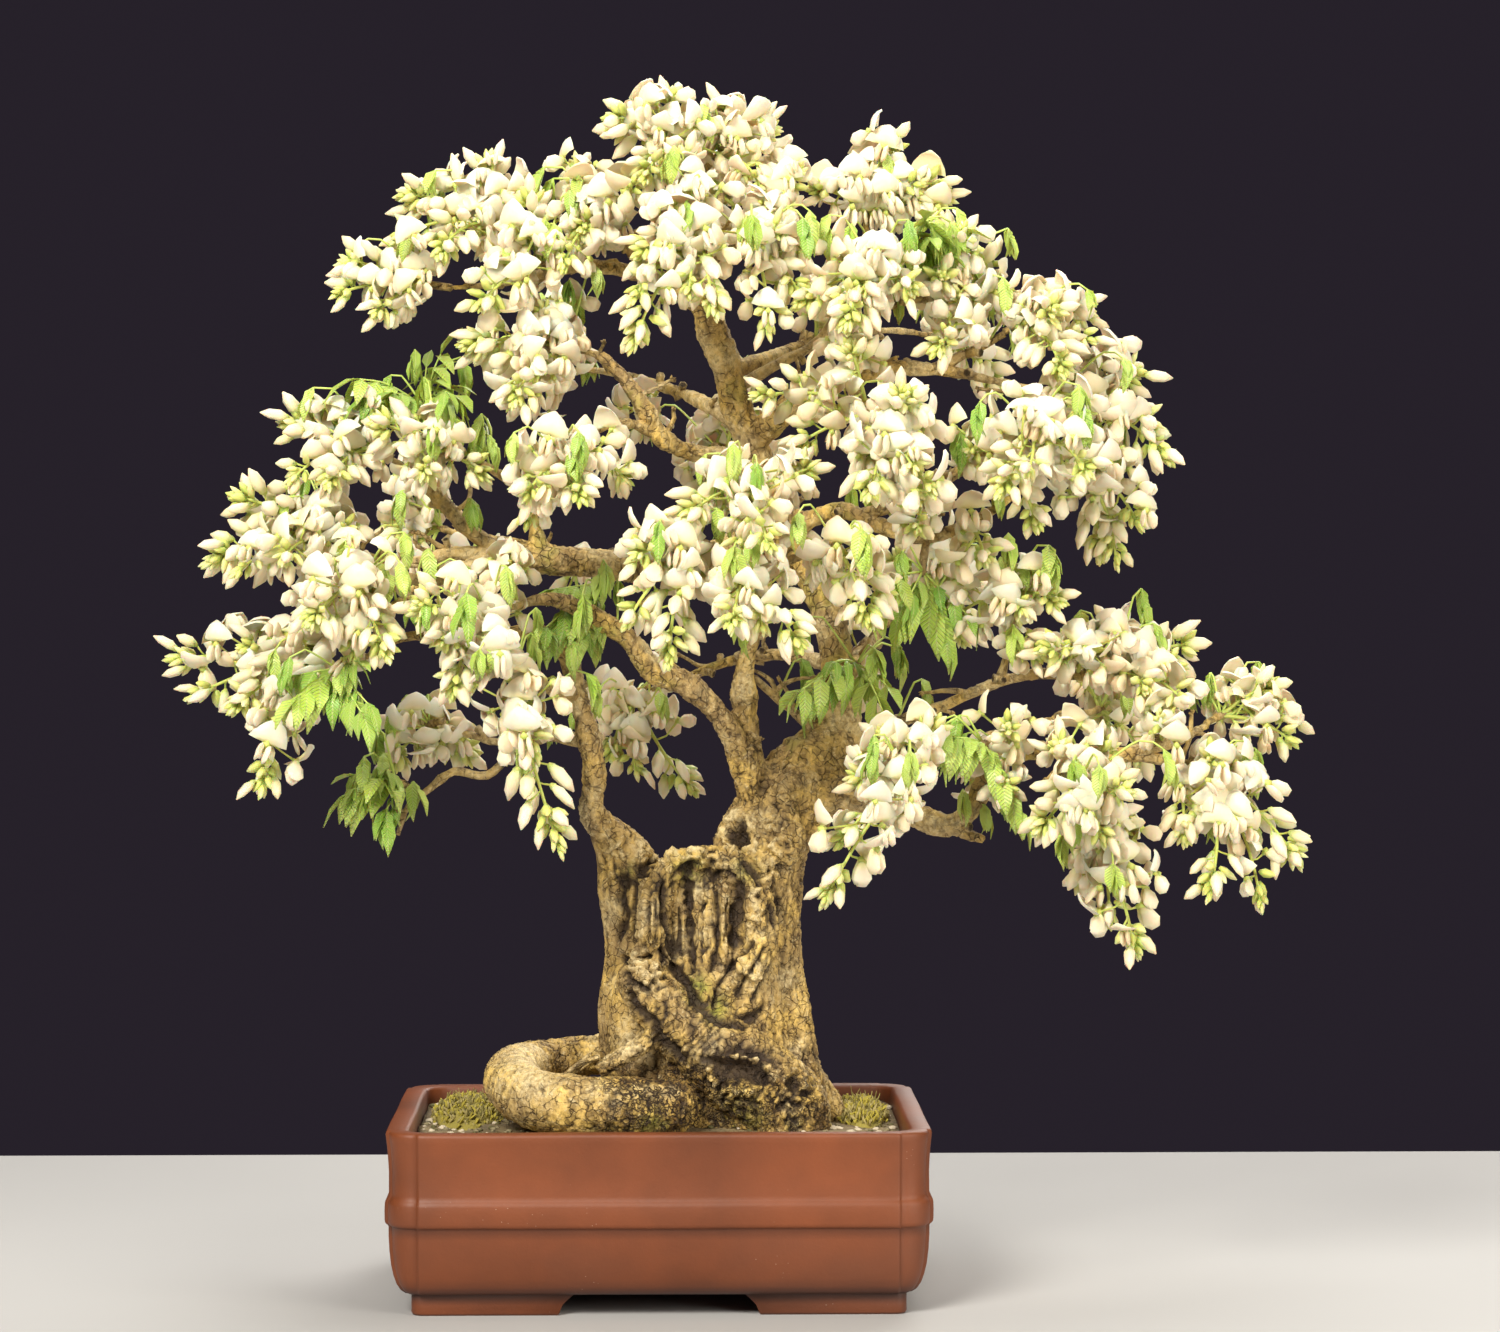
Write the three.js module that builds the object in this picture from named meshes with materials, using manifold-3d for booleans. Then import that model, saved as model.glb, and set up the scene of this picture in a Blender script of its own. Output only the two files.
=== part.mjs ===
// White-flowered wisteria bonsai in an unglazed rectangular pot, in millimetres.
//
// The frame: +X to the viewer's right, +Y away from the viewer, +Z up. The origin is on the table, under the
// middle of the whole object. An old, flared trunk with a looped surface root stands in the pot. Its limbs
// carry fine twigs, and each twig ends in a flowering spur that holds one to four hanging flower heads
// (racemes), or in a shoot of young feathered leaves.
import * as THREE from "three";
import { mergeVertices } from "three/addons/utils/BufferGeometryUtils.js";
import Module from "manifold-3d";

const wasm = await Module();
wasm.setup();

// ---------------------------------------------------------------- driving dimensions

const POT_X = -51; // the pot's middle: the crown leans out to the right of it
const POT_HALF_X = 181;
const POT_HALF_Y = 136;
const POT_HEIGHT = 122;
const FOOT_HEIGHT = 14;
const RIM_WIDTH = 15;
const POT_FLOOR = 23; // top of the pot's floor
const HOLE_RADIUS = 11; // drainage hole
const HOLE_OFFSET = 80; // from the pot's middle, along X
const SCREEN_SIZE = 46;
const SCREEN_THICKNESS = 1.6;
const SOIL_EDGE = 110; // height of the soil at the pot's wall
const SOIL_CROWN = 117; // and in the middle
const TRUNK_BASE = 92;
const GAP = 0.35; // between pieces that touch
const SPUR_LENGTH = 8;
const GOLDEN_ANGLE = Math.PI * (3 - Math.sqrt(5));

// The trunk's level sections: height, left side, right side, half depth.
const TRUNK_SECTIONS = [
  [TRUNK_BASE, -86, 62, 56],
  [112, -92, 66, 59],
  [140, -92, 62, 57],
  [170, -93, 55, 54],
  [197, -92, 49, 51],
  [228, -86, 44, 49],
  [258, -88, 44, 50],
  [281, -91, 46, 46],
  [293, -82, 40, 34],
];

// Thick roots, burrs and shoulders on the trunk: x, y, z, radius at each point along them.
const TRUNK_LUMPS = {
  looped_root: [[-30, -72, 132, 20], [-66, -82, 133, 21], [-104, -86, 134, 21], [-134, -78, 138, 20.5],
    [-150, -50, 145, 19.5], [-149, -12, 150, 18], [-128, 22, 152, 15.5], [-92, 36, 155, 14], [-60, 34, 158, 13]],
  burr: [[-68, -44, 222, 15], [-58, -46, 207, 18], [-38, -50, 186, 22], [-4, -50, 160, 30], [30, -44, 128, 33],
    [34, -40, 100, 33]],
  bridge_root: [[-46, -50, 181, 8], [-58, -58, 175, 7.5], [-78, -62, 163, 6.5], [-92, -60, 154, 6]],
  left_shoulder: [[-56, -4, 240, 30], [-68, -6, 276, 26], [-79, -11, 302, 17], [-90, -18, 318, 11]],
  right_shoulder: [[6, -4, 236, 36], [12, -4, 276, 35], [26, -2, 318, 31], [44, 4, 346, 27]],
  hollow_lip: [[-50, -34, 226, 12], [-54, -40, 258, 12], [-44, -34, 288, 10], [-18, -33, 297, 9], [6, -40, 286, 12],
    [18, -42, 250, 13], [12, -42, 216, 12]],
  eye_burr: [[30, -26, 296, 12], [38, -30, 312, 12], [34, -24, 330, 9]],
  back_root: [[20, 46, 150, 20], [44, 70, 126, 17], [58, 88, 108, 14]],
  right_root: [[40, 6, 140, 22], [58, 8, 118, 20], [68, 10, 100, 17]],
};

// Limbs and branches: x, y, z, radius at each point along them, from the foot to the tip.
const LIMBS = {
  main_trunk: [[16, 0, 276, 30.3], [24, 0, 314, 28.9], [39, 4, 339, 28.2], [57, 8, 358, 26.2], [68, 12, 375, 20.7],
    [72, 18, 394, 15.9], [73, 24, 416, 13.2], [71, 28, 444, 12.2], [61, 30, 475, 11.8], [47, 28, 507, 11.8],
    [33, 22, 538, 11.8], [20, 16, 563, 11.8], [8, 10, 589, 11.4], [0, 6, 613, 11], [-6, 2, 637, 11],
    [-15, 0, 659, 11], [-19, -2, 682, 8.9], [-22, -4, 709, 6.5], [-24, -4, 737, 4.5], [-26, -4, 761, 2.7]],
  left_limb: [[-68, -8, 286, 15.8], [-85, -16, 311, 11.3], [-97, -22, 328, 9.6], [-95, -25, 351, 8.2],
    [-99, -28, 380, 8.2], [-107, -30, 410, 7.5], [-114, -35, 440, 7.8], [-126, -42, 449, 5.8], [-148, -50, 451, 4.7],
    [-178, -58, 446, 4.4], [-219, -60, 448, 3.4], [-246, -60, 435, 2.4]],
  left_rising_limb: [[15, -12, 335, 11.6], [6, -22, 363, 9.6], [-2, -28, 382, 8.9], [-15, -34, 400, 8.2],
    [-33, -42, 416, 8.1], [-54, -50, 424, 8.1], [-71, -58, 446, 7.4], [-93, -64, 460, 7.4], [-111, -72, 470, 6],
    [-130, -84, 473, 4], [-150, -96, 467, 2.3]],
  upright_limb: [[17, -6, 335, 11], [10, -15, 380, 8.2], [7, -20, 404, 9.6], [7, -24, 423, 6.8], [11, -30, 442, 5.8],
    [17, -40, 466, 5.4], [20, -62, 489, 4.7], [16, -90, 516, 4], [10, -118, 539, 2.6]],
  left_horizontal_limb: [[41, 24, 519, 10.4], [5, 10, 510, 9.3], [-30, -4, 498, 9.3], [-64, -14, 494, 9.6],
    [-105, -20, 498, 9.6], [-132, -25, 500, 9.2], [-159, -30, 502, 8.2], [-181, -36, 493, 6.8], [-206, -42, 485, 5.8],
    [-223, -46, 472, 4.4], [-246, -50, 458, 3.4], [-267, -50, 447, 2.4]],
  left_fork_back: [[-149, -28, 502, 6.1], [-194, -22, 504, 5.1], [-214, -20, 498, 4.1], [-241, -25, 500, 3.1],
    [-261, -30, 508, 2]],
  left_fork_up: [[-159, -28, 505, 5.8], [-181, -25, 521, 5.1], [-201, -22, 542, 4.8], [-222, -20, 560, 3.4],
    [-235, -20, 569, 2]],
  left_fork_inner: [[-131, -25, 501, 6.1], [-137, -22, 527, 4.8], [-144, -22, 546, 3.8], [-166, -28, 562, 3.1],
    [-190, -32, 571, 2]],
  upper_left_limb: [[19, 16, 570, 8.3], [-23, 0, 572, 6.9], [-48, -15, 582, 6.5], [-59, -22, 600, 6.1],
    [-74, -28, 622, 5.4], [-90, -36, 637, 4.1], [-102, -42, 640, 2.4]],
  upper_left_spur: [[-52, -16, 584, 4.1], [-67, -28, 592, 3.4], [-91, -60, 588, 3], [-107, -95, 578, 2.3]],
  top_left_limb: [[-16, 0, 667, 7.6], [-37, -2, 684, 6.2], [-64, -6, 695, 5.5], [-98, -12, 700, 4.8],
    [-132, -18, 694, 3.8], [-166, -20, 687, 3.1], [-192, -20, 685, 2]],
  top_left_fork: [[-108, -14, 698, 3.8], [-129, -6, 712, 3.1], [-150, -2, 724, 2.1]],
  top_left_inner: [[-57, -5, 693, 3.8], [-71, -12, 712, 3.1], [-80, -18, 722, 2.1]],
  apex_front: [[-20, -2, 689, 4.5], [-20, -32, 705, 3.4], [-22, -52, 716, 2]],
  apex_right: [[-21, -4, 700, 4.1], [-4, -30, 710, 3.1], [5, -44, 713, 2]],
  right_high_limb: [[12, 10, 581, 11], [29, -4, 596, 10], [45, -14, 609, 9.2], [62, -20, 618, 8.2],
    [86, -25, 626, 6.5], [113, -26, 630, 5.5], [148, -22, 628, 4.1], [182, -18, 621, 3.1], [210, -15, 616, 2.1]],
  right_high_fork: [[79, -24, 624, 5.8], [90, -20, 650, 4.4], [100, -16, 677, 3.8], [98, -12, 704, 2.7],
    [92, -10, 723, 2.1]],
  right_high_outer: [[100, -16, 672, 3.8], [124, -10, 678, 3.1], [145, -10, 675, 2.1]],
  right_high_tip: [[134, -24, 629, 4.1], [165, -20, 643, 3.1], [185, -20, 654, 2]],
  right_thin_limb: [[3, 6, 618, 4.8], [32, 5, 635, 3.8], [56, 4, 648, 3.1], [73, -10, 671, 2.7], [88, -42, 688, 2]],
  right_middle_limb: [[41, 24, 522, 7.6], [67, 6, 533, 6.2], [83, -10, 531, 5.8], [100, -20, 523, 5.5],
    [123, -30, 516, 5.4], [141, -35, 517, 5.1], [164, -38, 526, 4.1], [191, -36, 544, 3.1], [218, -35, 564, 2]],
  right_middle_fork: [[88, -12, 530, 5.1], [109, -30, 537, 4.4], [143, -45, 554, 4.1], [171, -65, 573, 3],
    [189, -78, 585, 2]],
  front_right_spur: [[76, -22, 622, 4.8], [85, -70, 607, 3.4], [93, -106, 592, 2.3]],
  centre_left_spur: [[20, -58, 486, 3.4], [-1, -100, 498, 2.7], [-18, -132, 507, 2]],
  centre_front_spur: [[19, -72, 499, 3], [10, -110, 498, 2.6], [6, -132, 499, 2]],
  centre_right_spur: [[21, -66, 493, 3.4], [43, -92, 502, 2.7], [59, -110, 508, 2]],
  right_low_limb: [[43, 0, 322, 22], [66, -12, 337, 15.8], [93, -24, 336, 11.6], [123, -34, 326, 9.2],
    [146, -42, 319, 7.8], [161, -46, 332, 7.4], [169, -48, 347, 7.1], [180, -48, 363, 6.4], [207, -48, 371, 6.1],
    [239, -48, 368, 6.1], [255, -48, 366, 6.1], [276, -46, 370, 5.4], [305, -40, 379, 4.1], [323, -24, 386, 2.7]],
  right_low_stub: [[140, -40, 322, 6], [156, -42, 314, 4.6], [170, -43, 309, 3.6]],
  right_low_fork: [[268, -46, 368, 4.4], [291, -46, 364, 3.7], [309, -42, 361, 2.4]],
  right_low_under: [[242, -50, 366, 4.4], [247, -66, 352, 3.4], [246, -80, 338, 2]],
  right_low_front: [[221, -48, 370, 4.4], [225, -76, 363, 3], [227, -94, 358, 2]],
  right_upper_limb: [[75, 12, 370, 10.4], [96, 4, 380, 5.9], [118, -6, 390, 4.5], [145, -14, 400, 4.1],
    [168, -20, 411, 4.1], [195, -24, 420, 4.1], [222, -26, 422, 4.1], [250, -26, 419, 3.1]],
  right_upper_spur: [[182, -22, 416, 3.1], [187, -28, 442, 2.4], [188, -34, 464, 1.7]],
  front_low_spur: [[79, -20, 336, 5.8], [97, -70, 344, 4], [107, -125, 354, 2.3]],
  collar_twig: [[62, 2, 374, 3.4], [40, 0, 396, 2.8], [26, -8, 408, 2.6], [14, -20, 419, 2.4]],
  left_low_front: [[-106, -30, 408, 5.4], [-124, -62, 412, 3.7], [-139, -98, 418, 2.3]],
  left_low_limb: [[-100, -28, 376, 5.1], [-127, -14, 379, 3.8], [-146, -4, 372, 3.4], [-169, 0, 352, 3.1],
    [-192, 4, 354, 3.1], [-209, 6, 342, 2.8], [-224, 6, 330, 2.1], [-231, 6, 310, 1.7]],
  left_low_back: [[-146, -4, 372, 3.1], [-175, 10, 377, 2.4], [-199, 18, 385, 1.7]],
  left_outer_front: [[-206, -42, 485, 4.4], [-219, -68, 487, 3], [-237, -86, 489, 2]],
  back_low_limb: [[73, 26, 425, 6.2], [41, 66, 433, 4.6], [-1, 92, 428, 3.9], [-36, 103, 414, 2.9],
    [-57, 106, 407, 2.1]],
  back_right_limb: [[73, 22, 410, 7.6], [91, 74, 433, 6], [109, 118, 453, 4.3], [128, 150, 468, 3.3],
    [144, 170, 475, 2.2]],
  back_centre_limb: [[51, 28, 498, 6.9], [42, 78, 527, 5.3], [27, 121, 550, 4.3], [11, 150, 567, 3.3],
    [-2, 170, 578, 2.2]],
  back_upper_left_limb: [[8, 10, 591, 6.6], [-22, 58, 611, 4.9], [-57, 105, 626, 3.9], [-86, 135, 635, 2.9],
    [-110, 155, 638, 2.2]],
  back_upper_right_limb: [[-3, 4, 629, 6.2], [41, 58, 647, 4.6], [85, 105, 661, 3.6], [123, 135, 665, 2.9],
    [148, 155, 662, 2.2]],
  back_left_limb: [[-54, -12, 494, 6.8], [-91, 48, 500, 4.9], [-127, 105, 507, 3.9], [-166, 135, 515, 2.9],
    [-198, 155, 521, 2.2]],
  back_right_low_limb: [[88, -20, 336, 6.8], [130, 38, 353, 4.9], [177, 94, 372, 3.9], [223, 126, 383, 2.9],
    [256, 144, 390, 2.2]],
  back_apex_limb: [[-20, -2, 689, 4.8], [-15, 46, 711, 3.5], [-11, 82, 735, 2.8], [-8, 103, 752, 2.1]],
};

// Flowering spurs: where the spur sits, then for each of its racemes the tip and the raceme's half width.
const SPRAYS = {
  apex_left: [[-31, -5, 778], [-83, -20, 800, 22], [-45, 0, 818, 21], [-60, -60, 755, 20]],
  apex_right: [[-12, 5, 775], [26, 10, 796, 21], [-3, 20, 812, 18], [19, -30, 751, 19]],
  apex_front: [[-22, -60, 720], [-69, -110, 641, 26], [-64, -100, 702, 23], [-14, -115, 663, 21]],
  apex_front_right: [[9, -50, 714], [22, -90, 652, 19], [28, -85, 718, 17]],
  top_left_tip: [[-201, -20, 686], [-263, -30, 700, 24], [-241, -50, 666, 18]],
  top_left_outer: [[-157, -2, 728], [-224, -8, 748, 23], [-198, -60, 704, 23], [-168, 14, 774, 19]],
  top_left_middle: [[-128, -40, 697], [-170, -85, 669, 24], [-140, -40, 746, 19]],
  top_left_inner: [[-84, -20, 726], [-114, -80, 695, 23], [-109, 0, 769, 19]],
  upper_left: [[-108, -46, 642], [-180, -60, 644, 23], [-147, -100, 604, 23]],
  upper_left_front: [[-115, -115, 572], [-136, -150, 542, 20], [-100, -155, 539, 18]],
  left_top: [[-239, -20, 573], [-303, -30, 591, 24], [-271, -75, 550, 21]],
  left_top_inner: [[-197, -50, 574], [-239, -70, 590, 20], [-207, -95, 556, 19]],
  left_outer: [[-267, -32, 512], [-337, -35, 542, 23], [-300, -95, 499, 23], [-353, -50, 498, 23]],
  left_front: [[-245, -94, 489], [-278, -140, 459, 25], [-228, -140, 437, 21]],
  left_middle: [[-160, -101, 464], [-207, -140, 470, 22], [-186, -128, 412, 20]],
  left_low_outer: [[-273, -50, 442], [-379, -40, 432, 23], [-334, -80, 400, 20], [-316, -80, 347, 25]],
  left_low_front: [[-146, -110, 420], [-116, -142, 310, 26], [-161, -145, 447, 18]],
  left_low_back: [[-206, 20, 387], [-235, 40, 359, 20], [-179, 30, 363, 18]],
  back_low: [[-65, 107, 406], [-27, 115, 335, 24], [-85, 109, 361, 20]],
  centre_high: [[9, -128, 546], [-32, -175, 528, 23], [19, -205, 507, 20]],
  centre_left: [[-24, -142, 509], [-65, -185, 502, 23], [-45, -190, 434, 24]],
  centre_front: [[5, -142, 498], [-5, -208, 457, 20], [39, -190, 444, 23]],
  centre_right: [[64, -118, 509], [85, -150, 459, 22]],
  right_top: [[91, -10, 731], [56, -20, 752, 20], [109, 0, 787, 21], [147, 0, 747, 21]],
  right_top_front: [[94, -52, 695], [72, -112, 655, 24], [117, -95, 679, 20], [43, -80, 670, 19]],
  right_high_outer: [[153, -10, 674], [177, 10, 708, 19], [133, -80, 638, 21]],
  right_shoulder: [[192, -20, 658], [243, -10, 670, 21], [219, -75, 624, 21]],
  right_tip: [[218, -15, 615], [280, 10, 629, 22], [297, -20, 569, 22]],
  right_front: [[195, -84, 588], [230, -135, 557, 24], [173, -132, 544, 21]],
  right_under: [[226, -34, 570], [273, -50, 524, 23], [249, -30, 501, 18]],
  front_right: [[96, -115, 585], [85, -160, 542, 22], [126, -158, 543, 19], [109, -160, 608, 18]],
  right_middle_inner: [[188, -35, 471], [218, -65, 471, 17], [149, -45, 460, 20]],
  right_upper_low: [[256, -26, 421], [205, -75, 439, 21], [259, -5, 455, 19], [316, 0, 441, 19], [303, -60, 404, 19]],
  right_low_tip: [[331, -14, 391], [371, 0, 414, 18], [386, 0, 374, 18]],
  right_low_front: [[228, -104, 354], [199, -130, 322, 22], [256, -135, 347, 18]],
  right_low_outer: [[317, -40, 360], [382, -50, 295, 26], [317, -90, 276, 23]],
  right_low_hanging: [[246, -86, 330], [266, -110, 240, 24], [232, -60, 281, 18]],
  front_low: [[113, -138, 357], [57, -160, 278, 23], [77, -150, 357, 18]],
  back_right: [[151, 178, 478], [173, 199, 441, 22], [121, 205, 500, 21]],
  back_centre: [[-9, 178, 583], [-20, 202, 530, 24], [28, 205, 601, 21]],
  back_upper_left: [[-118, 162, 639], [-159, 181, 615, 24], [-123, 182, 689, 22]],
  back_upper_right: [[156, 162, 661], [195, 179, 624, 24], [149, 179, 707, 22]],
  back_left: [[-205, 162, 522], [-251, 181, 486, 24], [-231, 178, 567, 22]],
  back_right_low: [[266, 151, 391], [306, 170, 350, 23], [245, 173, 430, 22]],
  back_apex: [[-7, 109, 757], [-28, 146, 782, 22], [28, 150, 724, 22]],
};

// Leafy shoots: where the shoot sits, then the tip of each of its fronds.
const SHOOTS = {
  leaves_upper_left: [[-208, -14, 597], [-254, -32, 622], [-200, -10, 640], [-188, -50, 610]],
  leaves_left_hanging: [[-92, -40, 486], [-96, -66, 442], [-124, -62, 452]],
  leaves_trunk: [[84, -8, 428], [44, -72, 412], [100, -66, 396]],
  leaves_right_middle: [[128, -44, 496], [112, -62, 462], [144, -58, 446]],
  leaves_right_low: [[168, -76, 376], [136, -104, 378], [190, -92, 330]],
  leaves_left_low: [[-262, -78, 428], [-290, -110, 408], [-246, -122, 398]],
  leaves_left_pair: [[-228, -6, 346], [-262, -16, 340], [-240, -30, 352]],
  leaves_top_right: [[116, -28, 708], [150, -40, 722], [128, -62, 728]],
};

// ---------------------------------------------------------------- solids

const vec = (p) => new THREE.Vector3(p[0], p[1], p[2]);

function solidOf(geometry) {
  const bare = new THREE.BufferGeometry().setAttribute("position", geometry.getAttribute("position"));
  bare.setIndex(geometry.index);
  const merged = mergeVertices(bare, 1e-4);
  const mesh = new wasm.Mesh({
    numProp: 3,
    vertProperties: new Float32Array(merged.attributes.position.array),
    triVerts: new Uint32Array(merged.index.array),
  });
  return new wasm.Manifold(mesh);
}

// The solid's skin as plain triangles, from the largest to the smallest.
function geometryOf(solid) {
  const mesh = solid.getMesh();
  const corner = (i) => new THREE.Vector3().fromArray(mesh.vertProperties, i * mesh.numProp);
  const faces = [];
  for (let i = 0; i < mesh.triVerts.length; i += 3) {
    const face = new THREE.Triangle(...[0, 1, 2].map((j) => corner(mesh.triVerts[i + j])));
    faces.push({ face, area: face.getArea() });
  }
  faces.sort((p, q) => q.area - p.area);
  return new THREE.BufferGeometry().setFromPoints(faces.flatMap(({ face }) => [face.a, face.b, face.c]));
}

// A closed skin over rings of points that all run the same way round. Each end closes on the ring's middle,
// or on the one point of a ring that has only that.
function loft(rings) {
  const points = [];
  const triangles = [];
  const starts = rings.map((ring) => {
    points.push(...ring);
    return points.length - ring.length;
  });
  for (let k = 0; k + 1 < rings.length; k++) {
    const [a, b] = [rings[k].length, rings[k + 1].length];
    const n = Math.max(a, b);
    for (let i = 0; i < n; i++) {
      const j = (i + 1) % n;
      const [a0, a1] = [starts[k] + (i % a), starts[k] + (j % a)];
      const [b0, b1] = [starts[k + 1] + (i % b), starts[k + 1] + (j % b)];
      if (a > 1) triangles.push(a0, a1, b1);
      if (b > 1) triangles.push(a0, b1, b0);
    }
  }
  const close = (k, outwards) => {
    const n = rings[k].length;
    if (n === 1) return;
    const middle = rings[k].reduce((sum, p) => sum.add(p), new THREE.Vector3()).divideScalar(n);
    points.push(middle);
    for (let i = 0; i < n; i++) {
      const [p, q] = [starts[k] + i, starts[k] + ((i + 1) % n)];
      triangles.push(points.length - 1, ...(outwards ? [p, q] : [q, p]));
    }
  };
  close(0, false);
  close(rings.length - 1, true);
  const geometry = new THREE.BufferGeometry().setFromPoints(points).setIndex(triangles);
  const solid = solidOf(geometry);
  return solid.volume() < 0 ? solidOf(new THREE.BufferGeometry().setFromPoints(points).setIndex(triangles.reverse())) : solid;
}

const joined = (solids) => wasm.Manifold.union(solids);

// Rings of a given number of sides across a path of points, turned as little as possible from one to the next.
function ringsAlong(path, radii, sides, endDirection) {
  const direction = path.map((p, i) => {
    const before = path[Math.max(i - 1, 0)];
    const after = path[Math.min(i + 1, path.length - 1)];
    return after.clone().sub(before).normalize();
  });
  if (endDirection) direction[path.length - 1] = endDirection.clone();
  let side = new THREE.Vector3(0.31, 0.87, 0.39).cross(direction[0]).normalize();
  return path.map((p, i) => {
    side = side.clone().addScaledVector(direction[i], -side.dot(direction[i])).normalize();
    const other = direction[i].clone().cross(side);
    return Array.from({ length: sides }, (_, k) => {
      const turn = (2 * Math.PI * k) / sides;
      return p.clone()
        .addScaledVector(side, radii[i] * Math.cos(turn))
        .addScaledVector(other, radii[i] * Math.sin(turn));
    });
  });
}

const limb = (points, sides, extra = 0, endDirection = null) =>
  loft(ringsAlong(points.map(vec), points.map((p) => p[3] + extra), sides, endDirection));

// A limb's points without those that lie within a tolerance of the line, and of the taper, between their neighbours.
function thinned(points, tolerance) {
  if (points.length < 3) return points;
  const [first, last] = [points[0], points[points.length - 1]];
  const line = new THREE.Line3(vec(first), vec(last));
  const nearest = new THREE.Vector3();
  let worst = { off: -1 };
  points.slice(1, -1).forEach((p, i) => {
    const share = line.closestPointToPointParameter(vec(p), true);
    const off = line.at(share, nearest).distanceTo(vec(p)) + Math.abs(p[3] - first[3] - (last[3] - first[3]) * share);
    if (off > worst.off) worst = { off, at: i + 1 };
  });
  if (worst.off < tolerance) return [first, last];
  return [...thinned(points.slice(0, worst.at + 1), tolerance), ...thinned(points.slice(worst.at), tolerance).slice(1)];
}

// ---------------------------------------------------------------- pot, screens, soil and moss

// A rectangle whose rounded corners stand back a little from its faces, at one height.
function notchedOutline(inset, z, step = 2.5, radius = 19, arcs = 3) {
  const [hx, hy, r] = [POT_HALF_X - inset, POT_HALF_Y - inset, Math.max(radius - inset, 3)];
  const quarter = [[hx, hy - step - r - 2]];
  for (let i = 0; i <= arcs; i++) {
    const turn = (Math.PI / 2) * (i / arcs);
    quarter.push([hx - step - r + r * Math.cos(turn), hy - step - r + r * Math.sin(turn)]);
  }
  quarter.push([hx - step - r - 2, hy]);
  const mirrored = (sx, sy, points) => points.map(([x, y]) => [sx * x, sy * y]);
  const all = [
    ...quarter,
    ...mirrored(-1, 1, [...quarter].reverse()),
    ...mirrored(-1, -1, quarter),
    ...mirrored(1, -1, [...quarter].reverse()),
  ];
  return all.map(([x, y]) => new THREE.Vector3(POT_X + x, y, z));
}

// A plain rectangle with rounded corners, for the pot's cavity and what fills it.
const plainOutline = (inset, z) => notchedOutline(inset, z, 0, 24, 2);

function slab(width, depth, low, high, x, y) {
  return solidOf(new THREE.BoxGeometry(width, depth, high - low)).translate([x, y, (low + high) / 2]);
}

// A corner foot: one leg along each wall, both flared where they meet the pot's underside.
function foot(sx, sy) {
  const leg = ([x0, x1], [y0, y1]) => {
    const ring = (z, flare) => [[x0 - flare, y0 - flare], [x1, y0 - flare], [x1, y1], [x0 - flare, y1]]
      .map(([x, y]) => new THREE.Vector3(POT_X + sx * x, sy * y, z));
    return loft([ring(0, 0), ring(7, 2), ring(FOOT_HEIGHT + 4, 12)]);
  };
  const [x1, y1] = [POT_HALF_X - 17, POT_HALF_Y - 16];
  return joined([leg([x1 - 98, x1], [y1 - 19, y1]), leg([x1 - 19, x1], [y1 - 74, y1])]);
}

function makePot() {
  // Inset of the wall at each height: a belly under the raised band, and a slight hollow over it.
  const wall = [[FOOT_HEIGHT, 13], [23, 5.5], [42, 2.4], [60, 1.6], [61.5, -0.6], [76, -0.6], [78, 1.7], [POT_HEIGHT, 0]];
  const outside = loft(wall.map(([z, inset]) => notchedOutline(inset, z)));
  const inside = loft([[POT_FLOOR, 24], [40, 15], [POT_HEIGHT + 1, RIM_WIDTH]].map(([z, i]) => plainOutline(i, z)));
  const feet = [[1, 1], [-1, 1], [-1, -1], [1, -1]].map(([sx, sy]) => foot(sx, sy));
  const holes = [-1, 1].map((side) =>
    solidOf(new THREE.CylinderGeometry(HOLE_RADIUS, HOLE_RADIUS, 20, 12).rotateX(Math.PI / 2))
      .translate([POT_X + side * HOLE_OFFSET, 0, POT_FLOOR - 5]));
  return joined([outside, ...feet]).subtract(joined([inside, ...holes]));
}

// The net that keeps the soil out of a drainage hole.
function makeScreen(side) {
  const [x, low] = [POT_X + side * HOLE_OFFSET, POT_FLOOR + GAP];
  const pitch = SCREEN_SIZE / 2.4;
  const meshes = [-0.5, 0.5].flatMap((i) => [-0.5, 0.5].map((j) =>
    slab(pitch * 0.64, pitch * 0.64, low - 1, low + SCREEN_THICKNESS + 1, x + i * pitch, j * pitch)));
  return slab(SCREEN_SIZE, SCREEN_SIZE, low, low + SCREEN_THICKNESS, x, 0).subtract(joined(meshes));
}

// A low rounded cushion of moss with a lumpy outline.
function mossCushion([x, y, z], [rx, ry, rz], extra) {
  const sides = 12;
  const rings = [-0.9, -0.45, 0, 0.4, 0.75, 0.95].map((level, k) => {
    const spread = Math.sqrt(1 - level * level);
    return Array.from({ length: sides }, (_, i) => {
      const turn = (2 * Math.PI * i) / sides;
      const lump = 1 + 0.1 * Math.sin(3 * turn + k) + 0.07 * Math.sin(5 * turn + 2 * k);
      return new THREE.Vector3(
        x + (rx * lump + extra) * spread * Math.cos(turn),
        y + (ry * lump + extra) * spread * Math.sin(turn),
        z + (rz + extra) * level,
      );
    });
  });
  return loft(rings);
}

const MOSS = {
  moss_left: [[-182, 30, 109], [27, 62, 15]],
  moss_right: [[88, 26, 109], [20, 56, 13]],
};

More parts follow.
